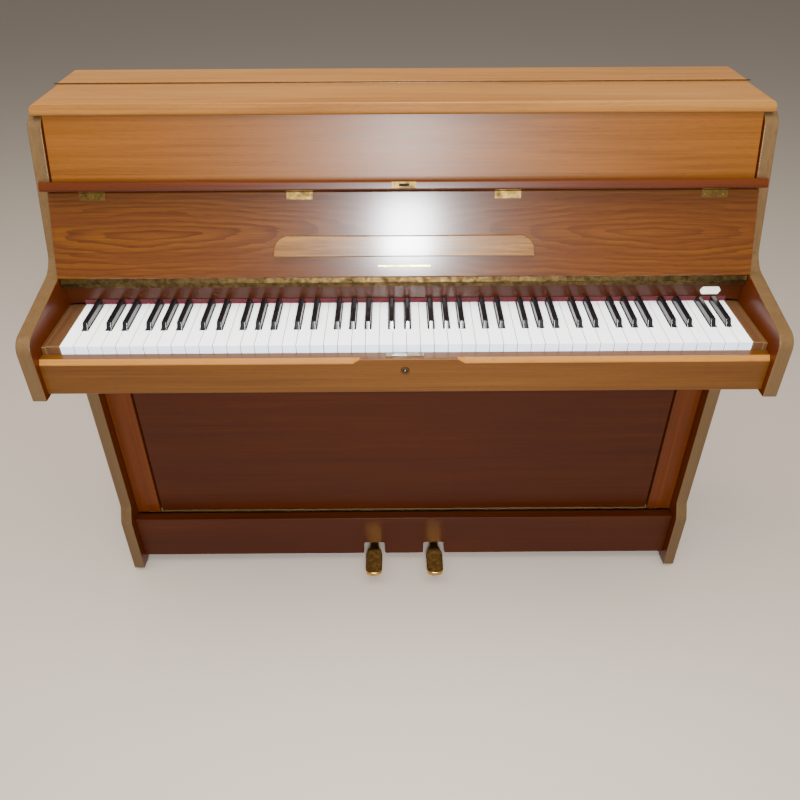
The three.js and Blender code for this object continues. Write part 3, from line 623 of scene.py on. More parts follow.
@dataclass
class Case:
    """Ends, lid, upper panel, and the small things fixed to them."""

    bend_back: float = 161.0
    bend_rise: float = 66.0
    lean: float = 16.1
    arm_slope: float = 11.0
    arm_drop: float = 89.0
    leg_back: float = 154.0
    toe_out: float = 20.0
    toe_tall: float = 0.158
    toe_bevel: float = 0.032
    panel_set: float = 0.006
    buffer_x: float = 0.618
    nose_round: float = 0.026
    bend_round: float = 0.045
    crown_round: float = 0.028
    lid_end_round: float = 0.013
    panel_thickness: float = 0.012
    pedal_x: float = 0.07
    pedal_gap: float = 0.05
    pedal_roof: float = 0.068
    lid_step: float = 0.0024
    knuckle: float = 0.0011
    edge: float = 0.0016

    def slant(self, z: float) -> float:
        """The ends' leaning front edge at a height."""
        return behind(self.bend_back) + (z - above(self.bend_rise)) * math.tan(math.radians(self.lean))

    def build_ends(self) -> None:
        """Two shaped boards with paler lipping round their edges."""
        leg = behind(self.leg_back)
        toe = leg - self.toe_out * MM
        arm_run = behind(self.bend_back) - LOW.y
        nose = above(self.bend_rise) - arm_run * math.tan(math.radians(self.arm_slope))
        outline = [
            (toe, LOW.z, 0.003), (HIGH.y, LOW.z, 0.003), (HIGH.y, HIGH.z),
            (self.slant(HIGH.z), HIGH.z, self.crown_round),
            (behind(self.bend_back), above(self.bend_rise), self.bend_round), (LOW.y, nose, self.nose_round),
            (LOW.y, above(-self.arm_drop), 0.003), (leg, above(-self.arm_drop), 0.004),
            (leg, self.toe_tall + self.toe_bevel, 0.012), (toe, self.toe_tall, 0.012),
        ]
        for hand in ("left", "right"):
            low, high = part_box(f"{hand}_end")
            bm = slab(outline, "x", low.x, high.x, self.edge)
            piece(bm, f"{hand}_end_board", "case", (END_VENEER, LIPPING), (f"{hand}_end",),
                  choose=lambda f: 0 if abs(f.normal.x) > 0.9 else 1)

    def lid_board(self, low: Vector, high: Vector, top: float, rims: tuple[float, float],
                  foot_round: float = 0.0) -> BMesh:
        """Lid board with its two ends rounded over from the top.

        Args:
            low: Lowest corner of the board.
            high: Highest corner of the board.
            top: Height of its upper face.
            rims: Radius taken off the front face's rim, and off the back face's.
            foot_round: Radius of the front face's lower edge.

        Returns:
            The closed board.
        """
        turn = self.lid_end_round
        bm = slab([(low.x, low.z), (high.x, low.z), (high.x, top, turn), (low.x, top, turn)], "y", low.y, high.y, 0.0)
        if foot_round:
            foot = [e for e in bm.edges if all(v.co.y < low.y + GAP and v.co.z < low.z + GAP for v in e.verts)]
            bevel(bm, foot, foot_round, 6, clamp=False)
        for y, radius in zip((low.y, high.y), rims):
            rim = [e for e in sharp_edges(bm, 40) if all(abs(v.co.y - y) < GAP for v in e.verts)]
            bevel(bm, rim, radius, 4, clamp=False)
        return bm

    def build_lid(self) -> None:
        """Front lid, rear lid, the hinge between them and two rubber buffers."""
        low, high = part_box("lid_front")
        front = self.lid_board(low, high, high.z - self.lid_step, (0.0016, 0.003), 0.006)
        piece(front, "front_lid_board", "lid", (LID_VENEER,), ("lid_front",))
        low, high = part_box("lid_rear")
        rear = self.lid_board(low, high, high.z, (0.0034, 0.004))
        piece(rear, "rear_lid_board", "case", (LID_VENEER,), ("lid_rear",))
        # The knuckle along the lids' seam is a real hinge, made dark as painted shade for the seam's shadow line.
        seam = low.y - 0.0006
        level = high.z - self.knuckle
        rod = rod_shape((low.x + 0.003, seam, level), (high.x - 0.003, seam, level), self.knuckle, 12)
        piece(rod, "lid_hinge_knuckle", "case", (TARNISH_AND_SHADE_STEEL,))
        for hand, x in (("left", -self.buffer_x), ("right", self.buffer_x)):
            at = (x, high.y - 0.004, high.z - 0.006)
            bm = turned_shape([(0, 0), (0.005, 0), (0.005, 0.003), (0.0038, 0.0034), (0, 0.0036)], at, (0, 1, 0))
            piece(bm, f"{hand}_lid_buffer", "case", (RUBBER,))

    def build_upper_panel(self) -> None:
        """Leaning upper panel, set in behind the ends' front edges."""
        low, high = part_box("upper_front_panel")
        foot, head = self.slant(low.z) + self.panel_set, self.slant(high.z) + self.panel_set
        profile = [(foot, low.z), (foot + self.panel_thickness, low.z), (head + self.panel_thickness, high.z),
                   (head, high.z)]
        piece(slab(profile, "x", low.x, high.x, 0.0008, 2), "upper_panel", "case", (PANEL_VENEER,),
              ("upper_front_panel",))

    def build_lower_front(self) -> None:
        """Lower panel, two pilasters and the toe rail."""
        low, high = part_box("lower_front_panel")
        # The lower panel and the toe rail take the darker veneer: painted shade.
        panel = slab([(low.x, low.z), (high.x, low.z), (high.x, high.z), (low.x, high.z)], "y", low.y, high.y, 0.001, 2)
        piece(panel, "lower_panel_board", "lower_panel", (LOWER_VENEER_PAINTED_SHADE,), ("lower_front_panel",))
        for hand in ("left", "right"):
            low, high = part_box(f"{hand}_pilaster")
            piece(box_shape(low, high, 0.0015, 3), f"{hand}_pilaster_board", "case", (STILE_VENEER,),
                  (f"{hand}_pilaster",))
        low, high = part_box("toe_rail")
        outline: list[tuple[float, ...]] = [(low.x, low.z)]
        for x in (-self.pedal_x, self.pedal_x):
            left, right = x - self.pedal_gap / 2, x + self.pedal_gap / 2
            outline += [(left, low.z, 0.003), (left, self.pedal_roof, 0.006), (right, self.pedal_roof, 0.006),
                        (right, low.z, 0.003)]
        outline += [(high.x, low.z), (high.x, high.z), (low.x, high.z)]
        board = slab(outline, "y", low.y, high.y, 0.0015, 3, 5)
        piece(board, "toe_rail_board", "case", (LOWER_VENEER_PAINTED_SHADE,),
              ("toe_rail",))

    def build(self) -> None:
        """Builds the case's visible shell."""
        self.build_ends()
        self.build_lid()
        self.build_upper_panel()
        self.build_lower_front()
        LOG.info("case: ends, lid, upper and lower panels, pilasters")


# ------------------------------------------------------------------ fall

@dataclass
class Fall:
    """Open fall with its lip, music ledge, hinges, strike plate and inlay."""

    lean: float = math.radians(22)
    thickness: float = 0.018
    length: float = 0.149
    foot_out: float = 0.0105
    foot_up: float = 0.014
    pin_back: float = 134.5
    pin_rise: float = 48.0
    knuckle_room: float = 0.0022
    knuckle_radius: float = 0.0013
    lip_thickness: float = 0.016
    lip_out: float = 0.032
    ledge_up: float = 0.037
    ledge_tall: float = 0.036
    ledge_thickness: float = 0.009
    ledge_round: float = 0.026
    ledge_foot: float = 0.457
    ledge_head: float = 0.453
    ledge_knuckle: float = 0.0007
    butt_places: tuple[float, ...] = (-0.538, -0.180, 0.180, 0.538)
    butt_length: float = 0.045
    butt_leaf: float = 0.012
    butt_screws: float = 0.016
    inlay_up: float = 0.019
    inlay_width: float = 0.0025
    inlay_length: float = 0.092

    def on(self, up: float, out: float) -> tuple[float, float]:
        """Point (y, z) at a distance up the open fall's inner face and a distance out from it."""
        foot_y = behind(self.pin_back) - self.foot_out
        foot_z = above(self.pin_rise) + self.foot_up
        return (foot_y + up * math.sin(self.lean) - out * math.cos(self.lean),
                foot_z + up * math.cos(self.lean) + out * math.sin(self.lean))

    def standing(self) -> Matrix:
        """Takes a shape drawn flat on the fall's inner face (x, out, up) to its place."""
        y, z = self.on(0, 0)
        return Matrix.Translation((0, y, z)) @ Matrix.Rotation(-self.lean, 4, "X")

    def put(self, bm: BMesh) -> BMesh:
        """Leans a shape drawn in the fall's own plane, with -y out of its inner face."""
        bmesh.ops.transform(bm, matrix=self.standing(), verts=bm.verts[:])
        return bm

    def build_boards(self) -> None:
        """Fall board and lip."""
        low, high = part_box("fallboard")
        cut = self.knuckle_room
        board = [(*self.on(0, -self.thickness), 0.003), self.on(self.length, -self.thickness),
                 self.on(self.length, -cut), self.on(self.length - cut, 0), (*self.on(0, 0), 0.0025)]
        piece(slab(board, "x", low.x, high.x, 0.0006, 2), "fall_board", "fall", (FALL_VENEER,),
              ("fallboard",))
        foot = self.length + GAP
        groove = [self.on(foot, 0.0015), self.on(foot + 0.0014, 0.0009), self.on(foot + 0.0014, -0.0012),
                  self.on(foot, -0.0018)]
        lip = [(*self.on(foot, self.lip_out), 0.003), *groove, self.on(foot, -self.thickness),
               (*self.on(foot + self.lip_thickness, -self.thickness), 0.004),
               (*self.on(foot + self.lip_thickness, self.lip_out), 0.004)]
        piece(slab(lip, "x", low.x, high.x, 0.0003, 1), "fall_lip_board", "fall_lip", (LIP_VENEER,),
              ("fallboard_lip",))

    def build_ledge(self) -> None:
        """Music ledge folded flat against the fall, and its own small hinges."""
        a, b, top = self.ledge_foot / 2, self.ledge_head / 2, self.ledge_up + self.ledge_tall
        outline = [(-a, self.ledge_up), (a, self.ledge_up), (b, top, self.ledge_round), (-b, top, self.ledge_round)]
        bm = self.put(slab(outline, "y", -self.ledge_thickness - GAP, -GAP, 0.0017, 4))
        piece(bm, "music_ledge_flap", "ledge", (LEDGE_VENEER,), ("music_ledge",))
        # The dark knuckle at the ledge's foot stands in for the shadow line under the ledge: painted shade.
        reach, out = a - 0.012, -GAP / 2
        pin = rod_shape((-reach, out, self.ledge_up), (reach, out, self.ledge_up), self.ledge_knuckle, 12)
        piece(self.put(pin), "ledge_hinge_knuckle", "fall", (TARNISH_AND_SHADE_STEEL,))

    def build_butts(self) -> None:
        """Four butt hinges between the fall and its lip."""
        face = self.length + GAP
        flush, sunk = -0.00002, 0.0008
        seat = self.length - self.knuckle_room
        axis = Vector((0, GAP / 2, self.length + GAP / 2))
        for i, x in enumerate(self.butt_places):
            left = x - self.butt_length / 2
            right = x + self.butt_length / 2
            leaf = box_shape((left, flush, seat - self.butt_leaf), (right, sunk, seat), 0.0)
            heads = [screw_head(Vector((x + dx, 0.0003, seat - 0.0065)), Vector((0, -1, 0)), 0.0021)
                     for dx in (-self.butt_screws, 0.0, self.butt_screws)]
            spans = ((0.0, 0.32), (0.33, 0.67), (0.68, 1.0))
            knuckles = [rod_shape(axis + Vector((left + s * self.butt_length, 0, 0)),
                                  axis + Vector((left + e * self.butt_length, 0, 0)), self.knuckle_radius, 14)
                        for s, e in spans]
            piece(self.put(gathered([leaf, *heads, knuckles[0], knuckles[2]])), f"lip_butt_{i + 1}_fall_leaf", "fall",
                  (OLD_BRASS,))
            other = box_shape((left, -self.butt_leaf - 0.0022, face + flush), (right, -0.0022, face + sunk), 0.0)
            piece(self.put(gathered([other, knuckles[1]])), f"lip_butt_{i + 1}_lip_leaf", "fall_lip",
                  (OLD_BRASS,))

    def build_strike(self) -> None:
        """Strike plate let into the lip's edge, with the slot that takes the bolt."""
        middle = self.length + GAP + self.lip_thickness / 2
        out = -self.lip_out
        plate = bmesh.new()
        bmesh.ops.create_grid(plate, x_segments=3, y_segments=3, size=0.5)
        xs, zs = (-0.0205, -0.0085, 0.0085, 0.0205), (-0.0053, -0.0022, 0.0022, 0.0053)
        for v in plate.verts:
            column, row = round((v.co.x + 0.5) * 3), round((v.co.y + 0.5) * 3)
            v.co = Vector((xs[column], out - 0.0012, middle + zs[row]))
        hole = min(plate.faces, key=lambda f: (f.calc_center_median() - Vector((0, out - 0.0012, middle))).length)
        bmesh.ops.delete(plate, geom=[hole], context="FACES_ONLY")
        bmesh.ops.recalc_face_normals(plate, faces=plate.faces[:])
        bmesh.ops.solidify(plate, geom=plate.faces[:], thickness=-0.0012)
        bmesh.ops.recalc_face_normals(plate, faces=plate.faces[:])
        ease_edges(plate, 0.0002, 2)
        heads = [screw_head(Vector((dx, out - 0.0013, middle)), Vector((0, -1, 0)), 0.002)
                 for dx in (-0.0145, 0.0145)]
        piece(self.put(gathered([plate, *heads])), "lip_strike_plate", "fall_lip", (OLD_BRASS,),
              ("strike_plate",))
        dark = box_shape((-0.0083, out - 0.0002, middle - 0.0021), (0.0083, out + 0.0001, middle + 0.0021), 0)
        piece(self.put(dark), "strike_slot", "fall_lip", (SHADOW,))

    def build_inlay(self) -> None:
        """Plain brass line let into the fall under the ledge."""
        half = self.inlay_length / 2
        bm = box_shape((-half, -0.0004, self.inlay_up), (half, 0.0002, self.inlay_up + self.inlay_width), 0.0001)
        piece(self.put(bm), "fall_inlay_line", "fall", (BRASS,))

    def build(self) -> None:
        """Builds the fall and what it carries."""
        self.build_boards()
        self.build_ledge()
        self.build_butts()
        self.build_strike()
        self.build_inlay()
        LOG.info("fall: board, lip, ledge, butt hinges, strike plate, inlay")


@dataclass
class PianoHinge:
    """Full-length hinge: two leaves whose knuckles take turns along one pin."""

    knuckle_length: float = 0.0256
    knuckle_radius: float = 0.0026
    leaf: float = 0.0014
    screw_pitch: float = 0.064

    def build(self, fall: Fall) -> None:
        """Builds both leaves with their knuckles and screws."""
        low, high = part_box("fall_hinge")
        y, z = behind(fall.pin_back), above(fall.pin_rise)
        count = int((high.x - low.x) / self.knuckle_length)
        pitch = (high.x - low.x) / count
        halves: dict[int, list[BMesh]] = {0: [], 1: []}
        for i in range(count):
            start = low.x + i * pitch
            knuckle = rod_shape((start + 0.0002, y, z), (start + pitch - 0.0002, y, z), self.knuckle_radius, 14, 0.0003)
            halves[i % 2].append(knuckle)
        leaf_back = y + self.knuckle_radius
        fixed = box_shape((low.x, leaf_back - self.leaf, low.z), (high.x, leaf_back, z + 0.001), 0.0002, 1)
        screws = [screw_head(Vector((low.x + 0.03 + k * self.screw_pitch, leaf_back - self.leaf, low.z + 0.0045)),
                             Vector((0, -1, 0)), 0.0024) for k in range(int((high.x - low.x) / self.screw_pitch))]
        piece(gathered([fixed, *halves[0], *screws]), "piano_hinge_fixed_leaf", "case", (HINGE_BRASS,),
              ("fall_hinge",))
        under = fall.put(box_shape((low.x, 0.0121, -0.0013), (high.x, 0.0165, -0.0001), 0.0002, 1))
        hanging = fall.put(box_shape((low.x, 0.0121, -0.0085), (high.x, 0.0135, 0.0), 0.0002, 1))
        piece(gathered([under, hanging, *halves[1]]), "piano_hinge_fall_leaf", "fall", (HINGE_BRASS,))
        LOG.info("piano hinge: %d knuckles", count)


# ------------------------------------------------------------------ key well

@dataclass
class KeyWell:
    """Nameboard, felt, key blocks, key slip with its lock, and the maker's blank plate."""

    slip_bevel: float = 0.007
    slip_bevel_drop: float = 0.0078
    plain_middle: float = 0.006
    plain_half: float = 0.0825
    run_out: float = 0.012
    bolt_span: tuple[float, float] = (-0.023, 0.003)
    bolt_width: float = 0.0055
    bolt_rise: float = 0.0016
    keyhole_drop: float = 37.0
    name_face: float = 146.0
    badge_up: float = 21.0
    badge_x: float = 0.560
    filler: float = 0.007
    filler_drop: float = 0.0014

    def build_slip(self) -> None:
        """Key slip: its front edge is bevelled, but left square for a hand's width round the lock."""
        low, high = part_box("key_slip")
        full = [(low.y, low.z, 0.003), (high.y, low.z), (high.y, high.z), (low.y, high.z, 0.0012)]
        bm = slab(full, "x", low.x, high.x, 0.0, arc_segments=3)
        outer = self.plain_half + self.run_out
        for offset in (-outer, -self.plain_half, self.plain_half, outer):
            cut(bm, (self.plain_middle + offset, 0, 0), (1, 0, 0))
        cut(bm, (0, low.y + self.slip_bevel, 0), (0, 1, 0))
        for v in bm.verts:
            if v.co.z > high.z - 0.002 and v.co.y < low.y + 0.002 and abs(v.co.x - self.plain_middle) > outer - 1e-5:
                v.co.z -= self.slip_bevel_drop
        bmesh.ops.recalc_face_normals(bm, faces=bm.faces[:])
        # The chamfer's faces, picked by their normals, take the paler veneer as painted highlight.
        piece(bm, "key_slip_board", "case", (SLIP_VENEER, SLIP_CHAMFER_PAINTED_HIGHLIGHT), ("key_slip",),
              choose=lambda f: int(f.normal.y < -0.3 and f.normal.z > 0.3), smooth_degrees=12)

    def build_lock(self) -> None:
        """Lock plate with two screws and its bolt on the slip, and the round escutcheon with its keyhole in front."""
        low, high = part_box("lock_plate")
        middle_y = (low.y + high.y) / 2
        heads = [screw_head(Vector((x, middle_y, high.z)), Vector((0, 0, 1)), 0.0021) for x in (-0.027, 0.027)]
        piece(gathered([box_shape(low, high, 0.0003), *heads]), "slip_lock_plate", "case", (PLATE_BRASS,),
              ("lock_plate",))
        left, right = self.bolt_span
        bolt = box_shape((left, middle_y - self.bolt_width, high.z - 0.0004),
                         (right, middle_y - 0.0002, high.z + self.bolt_rise), 0.0007, 3)
        piece(bolt, "slip_lock_bolt", "case", (STEEL,))
        slip_low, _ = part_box("key_slip")
        at = (0.0, slip_low.y + 0.0005, above(-self.keyhole_drop))
        ring = turned_shape([(0.0034, 0.0), (0.0075, 0.0), (0.0075, 0.0012), (0.0066, 0.0024), (0.0046, 0.0024),
                             (0.0036, 0.0012), (0.0034, 0.0)], at, (0, -1, 0), 36)
        piece(ring, "keyhole_escutcheon", "case", (TARNISH_AND_SHADE_STEEL,))
        hole = turned_shape([(0, 0), (0.0036, 0), (0.0036, 0.0009), (0, 0.0009)], at, (0, -1, 0), 24)
        piece(hole, "keyhole", "case", (SHADOW,))
        pin = turned_shape([(0, 0), (0.0017, 0), (0.0017, 0.0016), (0.0011, 0.0021), (0, 0.0022)], at, (0, -1, 0), 20)
        piece(pin, "keyhole_pin", "case", (PLATE_BRASS,))

    def build_nameboard(self) -> None:
        """Nameboard with its felt strip and a blank oval plate."""
        repaint(("nameboard",), NAME_VENEER)
        # The felt's darker colour is painted shade.
        repaint(("nameboard_felt",), FELT)
        face = behind(self.name_face)
        corners = [(-0.019, 0), (-0.0145, -0.0075), (0.0145, -0.0075), (0.019, 0), (0.0145, 0.0075), (-0.0145, 0.0075)]
        outline = [(self.badge_x + x, above(self.badge_up) + z, 0.003) for x, z in corners]
        piece(slab(outline, "y", face - 0.0016, face + 0.0002, 0.0004, 2), "blank_plate", "case",
              (IVORINE,))

    def build_blocks(self) -> None:
        """Key blocks at each end of the keys."""
        for hand in ("left", "right"):
            low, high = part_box(f"{hand}_key_block")
            seam = low.x + self.filler if hand == "left" else high.x - self.filler
            left = box_shape(low, (seam, high.y, high.z), 0.0012, 3)
            right = box_shape((seam, low.y, low.z), high, 0.0012, 3)
            strip = left if hand == "left" else right
            for v in strip.verts:
                if v.co.z > (low.z + high.z) / 2:
                    v.co.z -= self.filler_drop
            # The eased edges, picked by their normals, are painted paler as highlight.
            piece(gathered([left, right]), f"{hand}_key_block_wood", "case", (BLOCK_VENEER, BLOCK_EDGE_PAINTED_HIGHLIGHT),
                  (f"{hand}_key_block",), choose=lambda f: int(max(abs(c) for c in f.normal) < 0.97))

    def build(self) -> None:
        """Builds what frames the keys."""
        self.build_slip()
        self.build_lock()
        self.build_nameboard()
        self.build_blocks()
        LOG.info("key well: slip, lock, nameboard, blocks")


# ------------------------------------------------------------------ keyboard

@dataclass
class Keyboard:
    """Eighty-five keys: white plastic bodies and black caps on wooden sticks."""

    pitch: float = 0.0235
    gap: float = 0.0009
    head: float = 50.0
    length: float = 322.0
    visible: float = 146.0
    front: float = 0.0190
    black_rise: float = 0.012
    black_foot: float = 0.0108
    black_top: float = 0.0094
    black_side: float = 0.0011
    black_round: float = 0.0023
    right_shift: float = 0.003
    key_depth: float = 0.022

    def is_white(self, note: int) -> bool:
        """Tells whether a note is a white key."""
        return note % 12 in WHITE_STEPS

    def white_number(self, note: int) -> int:
        """How many white keys lie between the first C and a note."""
        return 7 * (note // 12) + sum(step < note % 12 for step in WHITE_STEPS)

    def left_edge(self) -> float:
        """Where the first C would start."""
        whites = sum(self.is_white(n) for n in range(LOWEST_KEY, HIGHEST_KEY + 1))
        return self.right_shift - self.pitch * whites / 2 - self.pitch * self.white_number(LOWEST_KEY)

    def middle(self, note: int) -> float:
        """Where the middle of a note's share of the keys' tails is."""
        step, octave = note % 12, self.left_edge() + 7 * self.pitch * (note // 12)
        if step < 5:
            return octave + (step + 0.5) * 3 * self.pitch / 5
        return octave + 3 * self.pitch + (step - 4.5) * 4 * self.pitch / 7

    def tail(self, note: int) -> tuple[float, float]:
        """Left and right edge of a key behind the white keys' heads."""
        slot = self.black_foot / 2 + self.black_side
        if not self.is_white(note):
            return self.middle(note) - slot + 0.001, self.middle(note) + slot - 0.001
        left = self.left_edge() + self.pitch * self.white_number(note) + self.gap / 2
        right = left + self.pitch - self.gap
        if note > LOWEST_KEY and not self.is_white(note - 1):
            left = self.middle(note - 1) + slot
        if note < HIGHEST_KEY and not self.is_white(note + 1):
            right = self.middle(note + 1) - slot
        return left, right

    def white(self, note: int) -> BMesh:
        """White key: a moulded body with its edges eased."""
        left = self.left_edge() + self.pitch * self.white_number(note) + self.gap / 2
        right = left + self.pitch - self.gap
        tail_left, tail_right = self.tail(note)
        shoulder, back = behind(self.head), behind(self.visible + 12)
        outline: list[tuple[float, ...]] = [(left, behind(0), 0.0008), (right, behind(0), 0.0008)]
        if tail_right < right - 1e-6:
            outline += [(right, shoulder, 0.0006), (tail_right, shoulder)]
        outline += [(tail_right, back), (tail_left, back)]
        if tail_left > left + 1e-6:
            outline += [(tail_left, shoulder), (left, shoulder, 0.0006)]
        return slab(outline, "z", above(0) - self.front, above(0), 0.0006, 2, 3)

    def face_finish(self, face: BMFace) -> int:
        """Numbers a white key's finishes: 0 on top, 1 on the front, which is painted shade, 2 on the sides."""
        if abs(face.normal.x) > 0.95:
            return 2
        return int(face.normal.y < -0.9)

    def stick(self, note: int) -> BMesh:
        """Wooden stick that carries a key and runs back under the nameboard."""
        left, right = self.tail(note)
        white = self.is_white(note)
        fore_top = above(0) - self.front - 0.0002 if white else above(-6)
        fore = box_shape((left + 0.001, behind(2 if white else self.head + 4), above(0) - self.key_depth),
                         (right - 0.001, behind(self.visible + 12), fore_top), 0)
        rear = box_shape((left + 0.001, behind(self.visible + 12.3), above(0) - self.key_depth),
                         (right - 0.001, behind(self.length), above(-2)), 0)
        return gathered([fore, rear])

    def black(self, note: int) -> BMesh:
        """Black cap: tapered sides, a sloping nose and rounded top edges."""
        middle, nose = self.middle(note), behind(self.head + 1)
        back = behind(self.visible - 4)
        bm = bmesh.new()
        bmesh.ops.create_cube(bm, size=1)
        for v in bm.verts:
            top = v.co.z > 0
            half = (self.black_top if top else self.black_foot) / 2
            y = nose + (0.0095 if top else 0.0) if v.co.y < 0 else back
            v.co = Vector((middle + math.copysign(half, v.co.x), y, above(self.black_rise / MM if top else -6)))
        low = [v for v in bm.verts if v.co.z < above(0) and v.co.y < nose + 0.02]
        bmesh.ops.translate(bm, verts=low, vec=(0, -0.0001, 0))
        bm.normal_update()
        tops = [e for e in bm.edges if all(v.co.z > above(5) for v in e.verts)]
        uprights = [e for e in bm.edges if e not in tops and all(v.co.y < nose + 0.02 for v in e.verts)
                    and any(v.co.z > above(5) for v in e.verts)]
        bevel(bm, tops + uprights, self.black_round, 4)
        return bm

    def body(self, note: int) -> tuple[str, Optional[str]]:
        """Names the body that a key rides on, and the CAD node that it is part of."""
        kind = "whites" if self.is_white(note) else "blacks"
        if note in SINGLE_KEYS:
            name = f"key_{NOTE_NAMES[note % 12]}4"
            return name, name
        bank = "bass" if note < SINGLE_KEYS.start else "treble"
        return f"{bank}_{kind}", f"{bank}_{kind[:-1]}_keys"

    def build(self) -> None:
        """Builds every key and its stick."""
        sticks: dict[str, list[BMesh]] = {}
        for note in range(LOWEST_KEY, HIGHEST_KEY + 1):
            body, node = self.body(note)
            white = self.is_white(note)
            shape = self.white(note) if white else self.black(note)
            finishes = (WHITE_PLASTIC, WHITE_FRONT_PAINTED_SHADE, KEY_SIDE) if white else (BLACK_PLASTIC,)
            name = f"{NOTE_NAMES[note % 12]}{note // 12}_key"
            piece(shape, name, body, finishes, (node,), choose=self.face_finish if white else None)
            sticks.setdefault(body, []).append(self.stick(note))
        for body, shapes in sticks.items():
            piece(gathered(shapes), f"{body}_sticks", body, (BEECH,))
        LOG.info("keyboard: %d keys", HIGHEST_KEY - LOWEST_KEY + 1)


# ------------------------------------------------------------------ back, action, pedals

@dataclass
class Works:
    """Back frame, soundboard, strung frame, action, pedals and castors."""

    posts: int = 5
    bolt_radius: float = 0.011
    bolt_inset: float = 0.033
    bolt_up: float = 0.056
    pedal_edge: float = 0.0028
    pedal_top: float = 0.056

    def build_pedals(self) -> None:
        """Two cast brass pedals with a broad rounded tread and a narrower shank."""
        for hand, body in (("left", "soft_pedal"), ("right", "sustain_pedal")):
            low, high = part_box(f"{hand}_pedal")
            x, half = (low.x + high.x) / 2, (high.x - low.x) / 2
            shank = half * 0.5
            outline = [(x - half, low.y, 0.015), (x + half, low.y, 0.015), (x + half, low.y + 0.060, 0.012),
                       (x + shank, low.y + 0.085, 0.012), (x + shank, high.y, 0.003), (x - shank, high.y, 0.003),
                       (x - shank, low.y + 0.085, 0.012), (x - half, low.y + 0.060, 0.012)]
            casting = slab(outline, "z", low.z, min(high.z, self.pedal_top), self.pedal_edge, 4, 6)
            piece(casting, f"{hand}_pedal_casting", body,
                  (BRASS,), (f"{hand}_pedal",))

    def build_bolts(self) -> None:
        """Bolt heads where the back posts cross the beams."""
        low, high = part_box("back_frame")
        heads = []
        radius, inset = self.bolt_radius, self.bolt_inset
        profile = [(0, -0.001), (radius, -0.001), (radius, 0.0005), (radius * 0.7, 0.0014), (0, 0.0017)]
        for i in range(self.posts):
            x = low.x + inset + i * (high.x - low.x - 2 * inset) / (self.posts - 1)
            for z in (low.z + self.bolt_up, high.z - self.bolt_up):
                heads.append(turned_shape(profile, (x, high.y, z), (0, 1, 0), 24))
        piece(gathered(heads), "back_bolts", "case", (STEEL,))

    def build_wheels(self) -> None:
        """Two castor wheels with a crowned tread."""
        for hand in ("left", "right"):
            low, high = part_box(f"{hand}_castor_wheel")
            radius, width = (high.z - low.z) / 2, high.x - low.x
            near = [(0, 0), (radius * 0.45, 0), (radius * 0.5, 0.0012), (radius * 0.82, 0.0012), (radius * 0.88, 0),
                    (radius * 0.97, 0.0006), (radius, width * 0.3)]
            profile = near + [(r, width - h) for r, h in reversed(near)]
            at = (low.x, (low.y + high.y) / 2, (low.z + high.z) / 2)
            piece(turned_shape(profile, at, (1, 0, 0), 40), f"{hand}_wheel_tread", f"{hand}_wheel", (RUBBER,),
                  (f"{hand}_castor_wheel",), smooth_degrees=30)

    def dress(self) -> None:
        """Finishes for the pieces that keep their shape."""
        repaint(("back_frame",), POST_WOOD)
        repaint(("soundboard",), SPRUCE)
        repaint(("wrest_plank", "bass_bridge", "treble_bridge", "key_frame", "action_frame", "hammer_bank"), BEECH)
        repaint(("bottom_board", "key_bed", "left_pedal_rod", "right_pedal_rod"), SOFTWOOD)
        repaint(("iron_frame",), GILT_IRON)
        repaint(("bass_strings", "treble_strings", "left_castor_fork", "right_castor_fork",
                 "left_glide", "right_glide"),
                STEEL)
        repaint(("damper_bank",), HAMMER_FELT)

    def build(self) -> None:
        """Builds and dresses the works."""
        self.build_pedals()
        self.build_bolts()
        self.build_wheels()
        self.dress()
        LOG.info("works: pedals, bolts, wheels, finishes")


# ------------------------------------------------------------------ studio

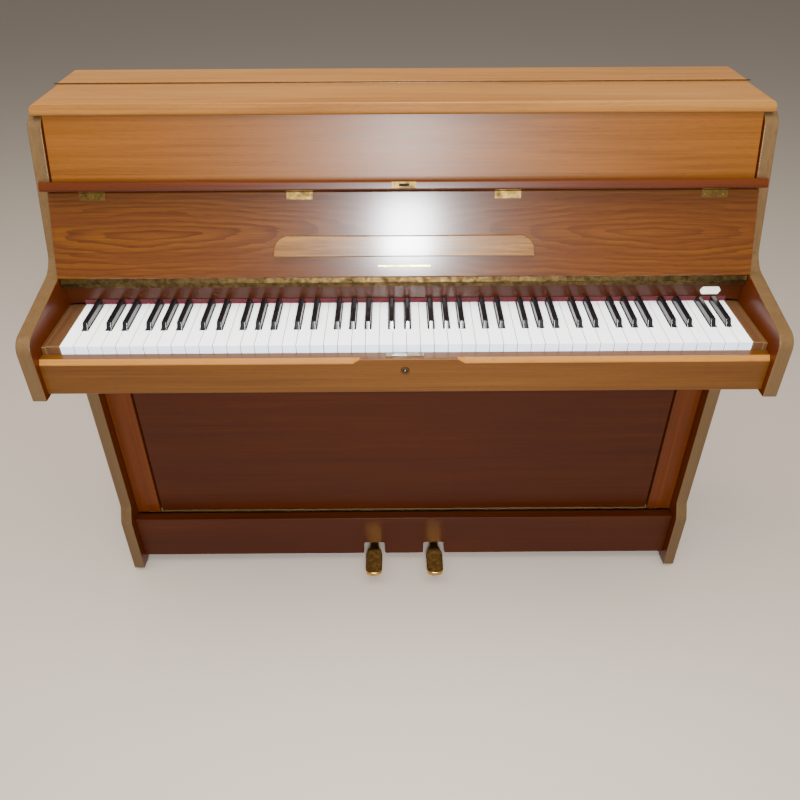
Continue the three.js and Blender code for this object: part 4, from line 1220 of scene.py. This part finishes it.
@dataclass
class Studio:
    """Floor, lights and camera."""

    lens: float = 34.6
    pitch: float = 0.63611
    yaw: float = 0.003844
    roll: float = 0.004338
    camera_at: tuple[float, float, float] = (-13.1, -1102.1, 697.2)
    floor_colour: str = "#a79c91"

    def build_camera(self) -> None:
        """Camera at a standing player's eye, looking down on the keys."""
        x, back, up = self.camera_at
        s, c = math.sin(self.yaw), math.cos(self.yaw)
        ahead, rise = Vector((s, c, 0)), Vector((0, 0, 1))
        forward = ahead * math.cos(self.pitch) - rise * math.sin(self.pitch)
        top = ahead * math.sin(self.pitch) + rise * math.cos(self.pitch)
        right = Vector((c, -s, 0))
        sr, cr = math.sin(self.roll), math.cos(self.roll)
        columns = (right * cr - top * sr, right * sr + top * cr, -forward)
        matrix = Matrix([[col[i] for col in columns] for i in range(3)]).to_4x4()
        matrix.translation = (x * MM, behind(back), above(up))
        data = bpy.data.cameras.new("camera")
        data.lens, data.sensor_width, data.clip_start = self.lens, 36.0, 0.05
        camera = bpy.data.objects.new("camera", data)
        camera.matrix_world = matrix
        bpy.context.scene.collection.objects.link(camera)
        bpy.context.scene.camera = camera

    def add_area(self, name: str, at: Sequence[float], aim: Sequence[float], size: tuple[float, float], watts: float,
                 colour: str, mirrored: bool = True) -> None:
        """Adds one soft rectangular light that faces a point; one that is not mirrored leaves no glare."""
        data = bpy.data.lights.new(name, "AREA")
        data.shape, data.size, data.size_y = "RECTANGLE", size[0], size[1]
        data.energy, data.color = watts, linear(colour)[:3]
        light = bpy.data.objects.new(name, data)
        turn = (Vector(aim) - Vector(at)).to_track_quat("-Z", "Y").to_matrix().to_4x4()
        light.matrix_world = Matrix.Translation(at) @ turn
        light.visible_glossy = mirrored
        bpy.context.scene.collection.objects.link(light)

    def build_lights(self) -> None:
        """Broad window light from behind the player, a ceiling wash and a pale room."""
        self.add_area("front_softbox", (0.025, -1.5, 1.37), (0.02, 0, 0.90), (0.16, 0.22), 50, "#fbfcff")
        self.add_area("window", (0.1, -3.6, 2.2), (0, 0, 0.8), (2.4, 1.6), 135, "#f6f9ff", mirrored=False)
        self.add_area("ceiling", (-0.2, -0.5, 2.9), (0, 0, 0.5), (3.2, 2.4), 215, "#fffaf2", mirrored=False)
        world = bpy.data.worlds.new("pale_room")
        world.use_nodes = True
        background = world.node_tree.nodes["Background"]
        background.inputs["Color"].default_value = linear("#ece4da")
        background.inputs["Strength"].default_value = 0.4
        bpy.context.scene.world = world

    def build_floor(self) -> None:
        """Plain pale floor."""
        bm = bmesh.new()
        bmesh.ops.create_grid(bm, x_segments=1, y_segments=1, size=9)
        mesh = bpy.data.meshes.new("floor")
        bm.to_mesh(mesh)
        bm.free()
        floor = bpy.data.objects.new("floor", mesh)
        bpy.context.scene.collection.objects.link(floor)
        material, _, shader = new_material("painted_concrete_floor")
        shader.inputs["Base Color"].default_value = linear(self.floor_colour)
        shader.inputs["Roughness"].default_value = 0.55
        mesh.materials.append(material)

    def build(self) -> None:
        """Builds the studio."""
        self.build_camera()
        self.build_lights()
        self.build_floor()
        LOG.info("studio: camera, lights, floor")


def main() -> None:
    """Builds the piano's looks, sub-assembly by sub-assembly."""
    logging.basicConfig(level=logging.INFO, format="%(name)s: %(message)s")
    Studio().build()
    Case().build()
    fall = Fall()
    fall.build()
    PianoHinge().build(fall)
    KeyWell().build()
    Keyboard().build()
    Works().build()


if __name__ == "__main__":
    main()
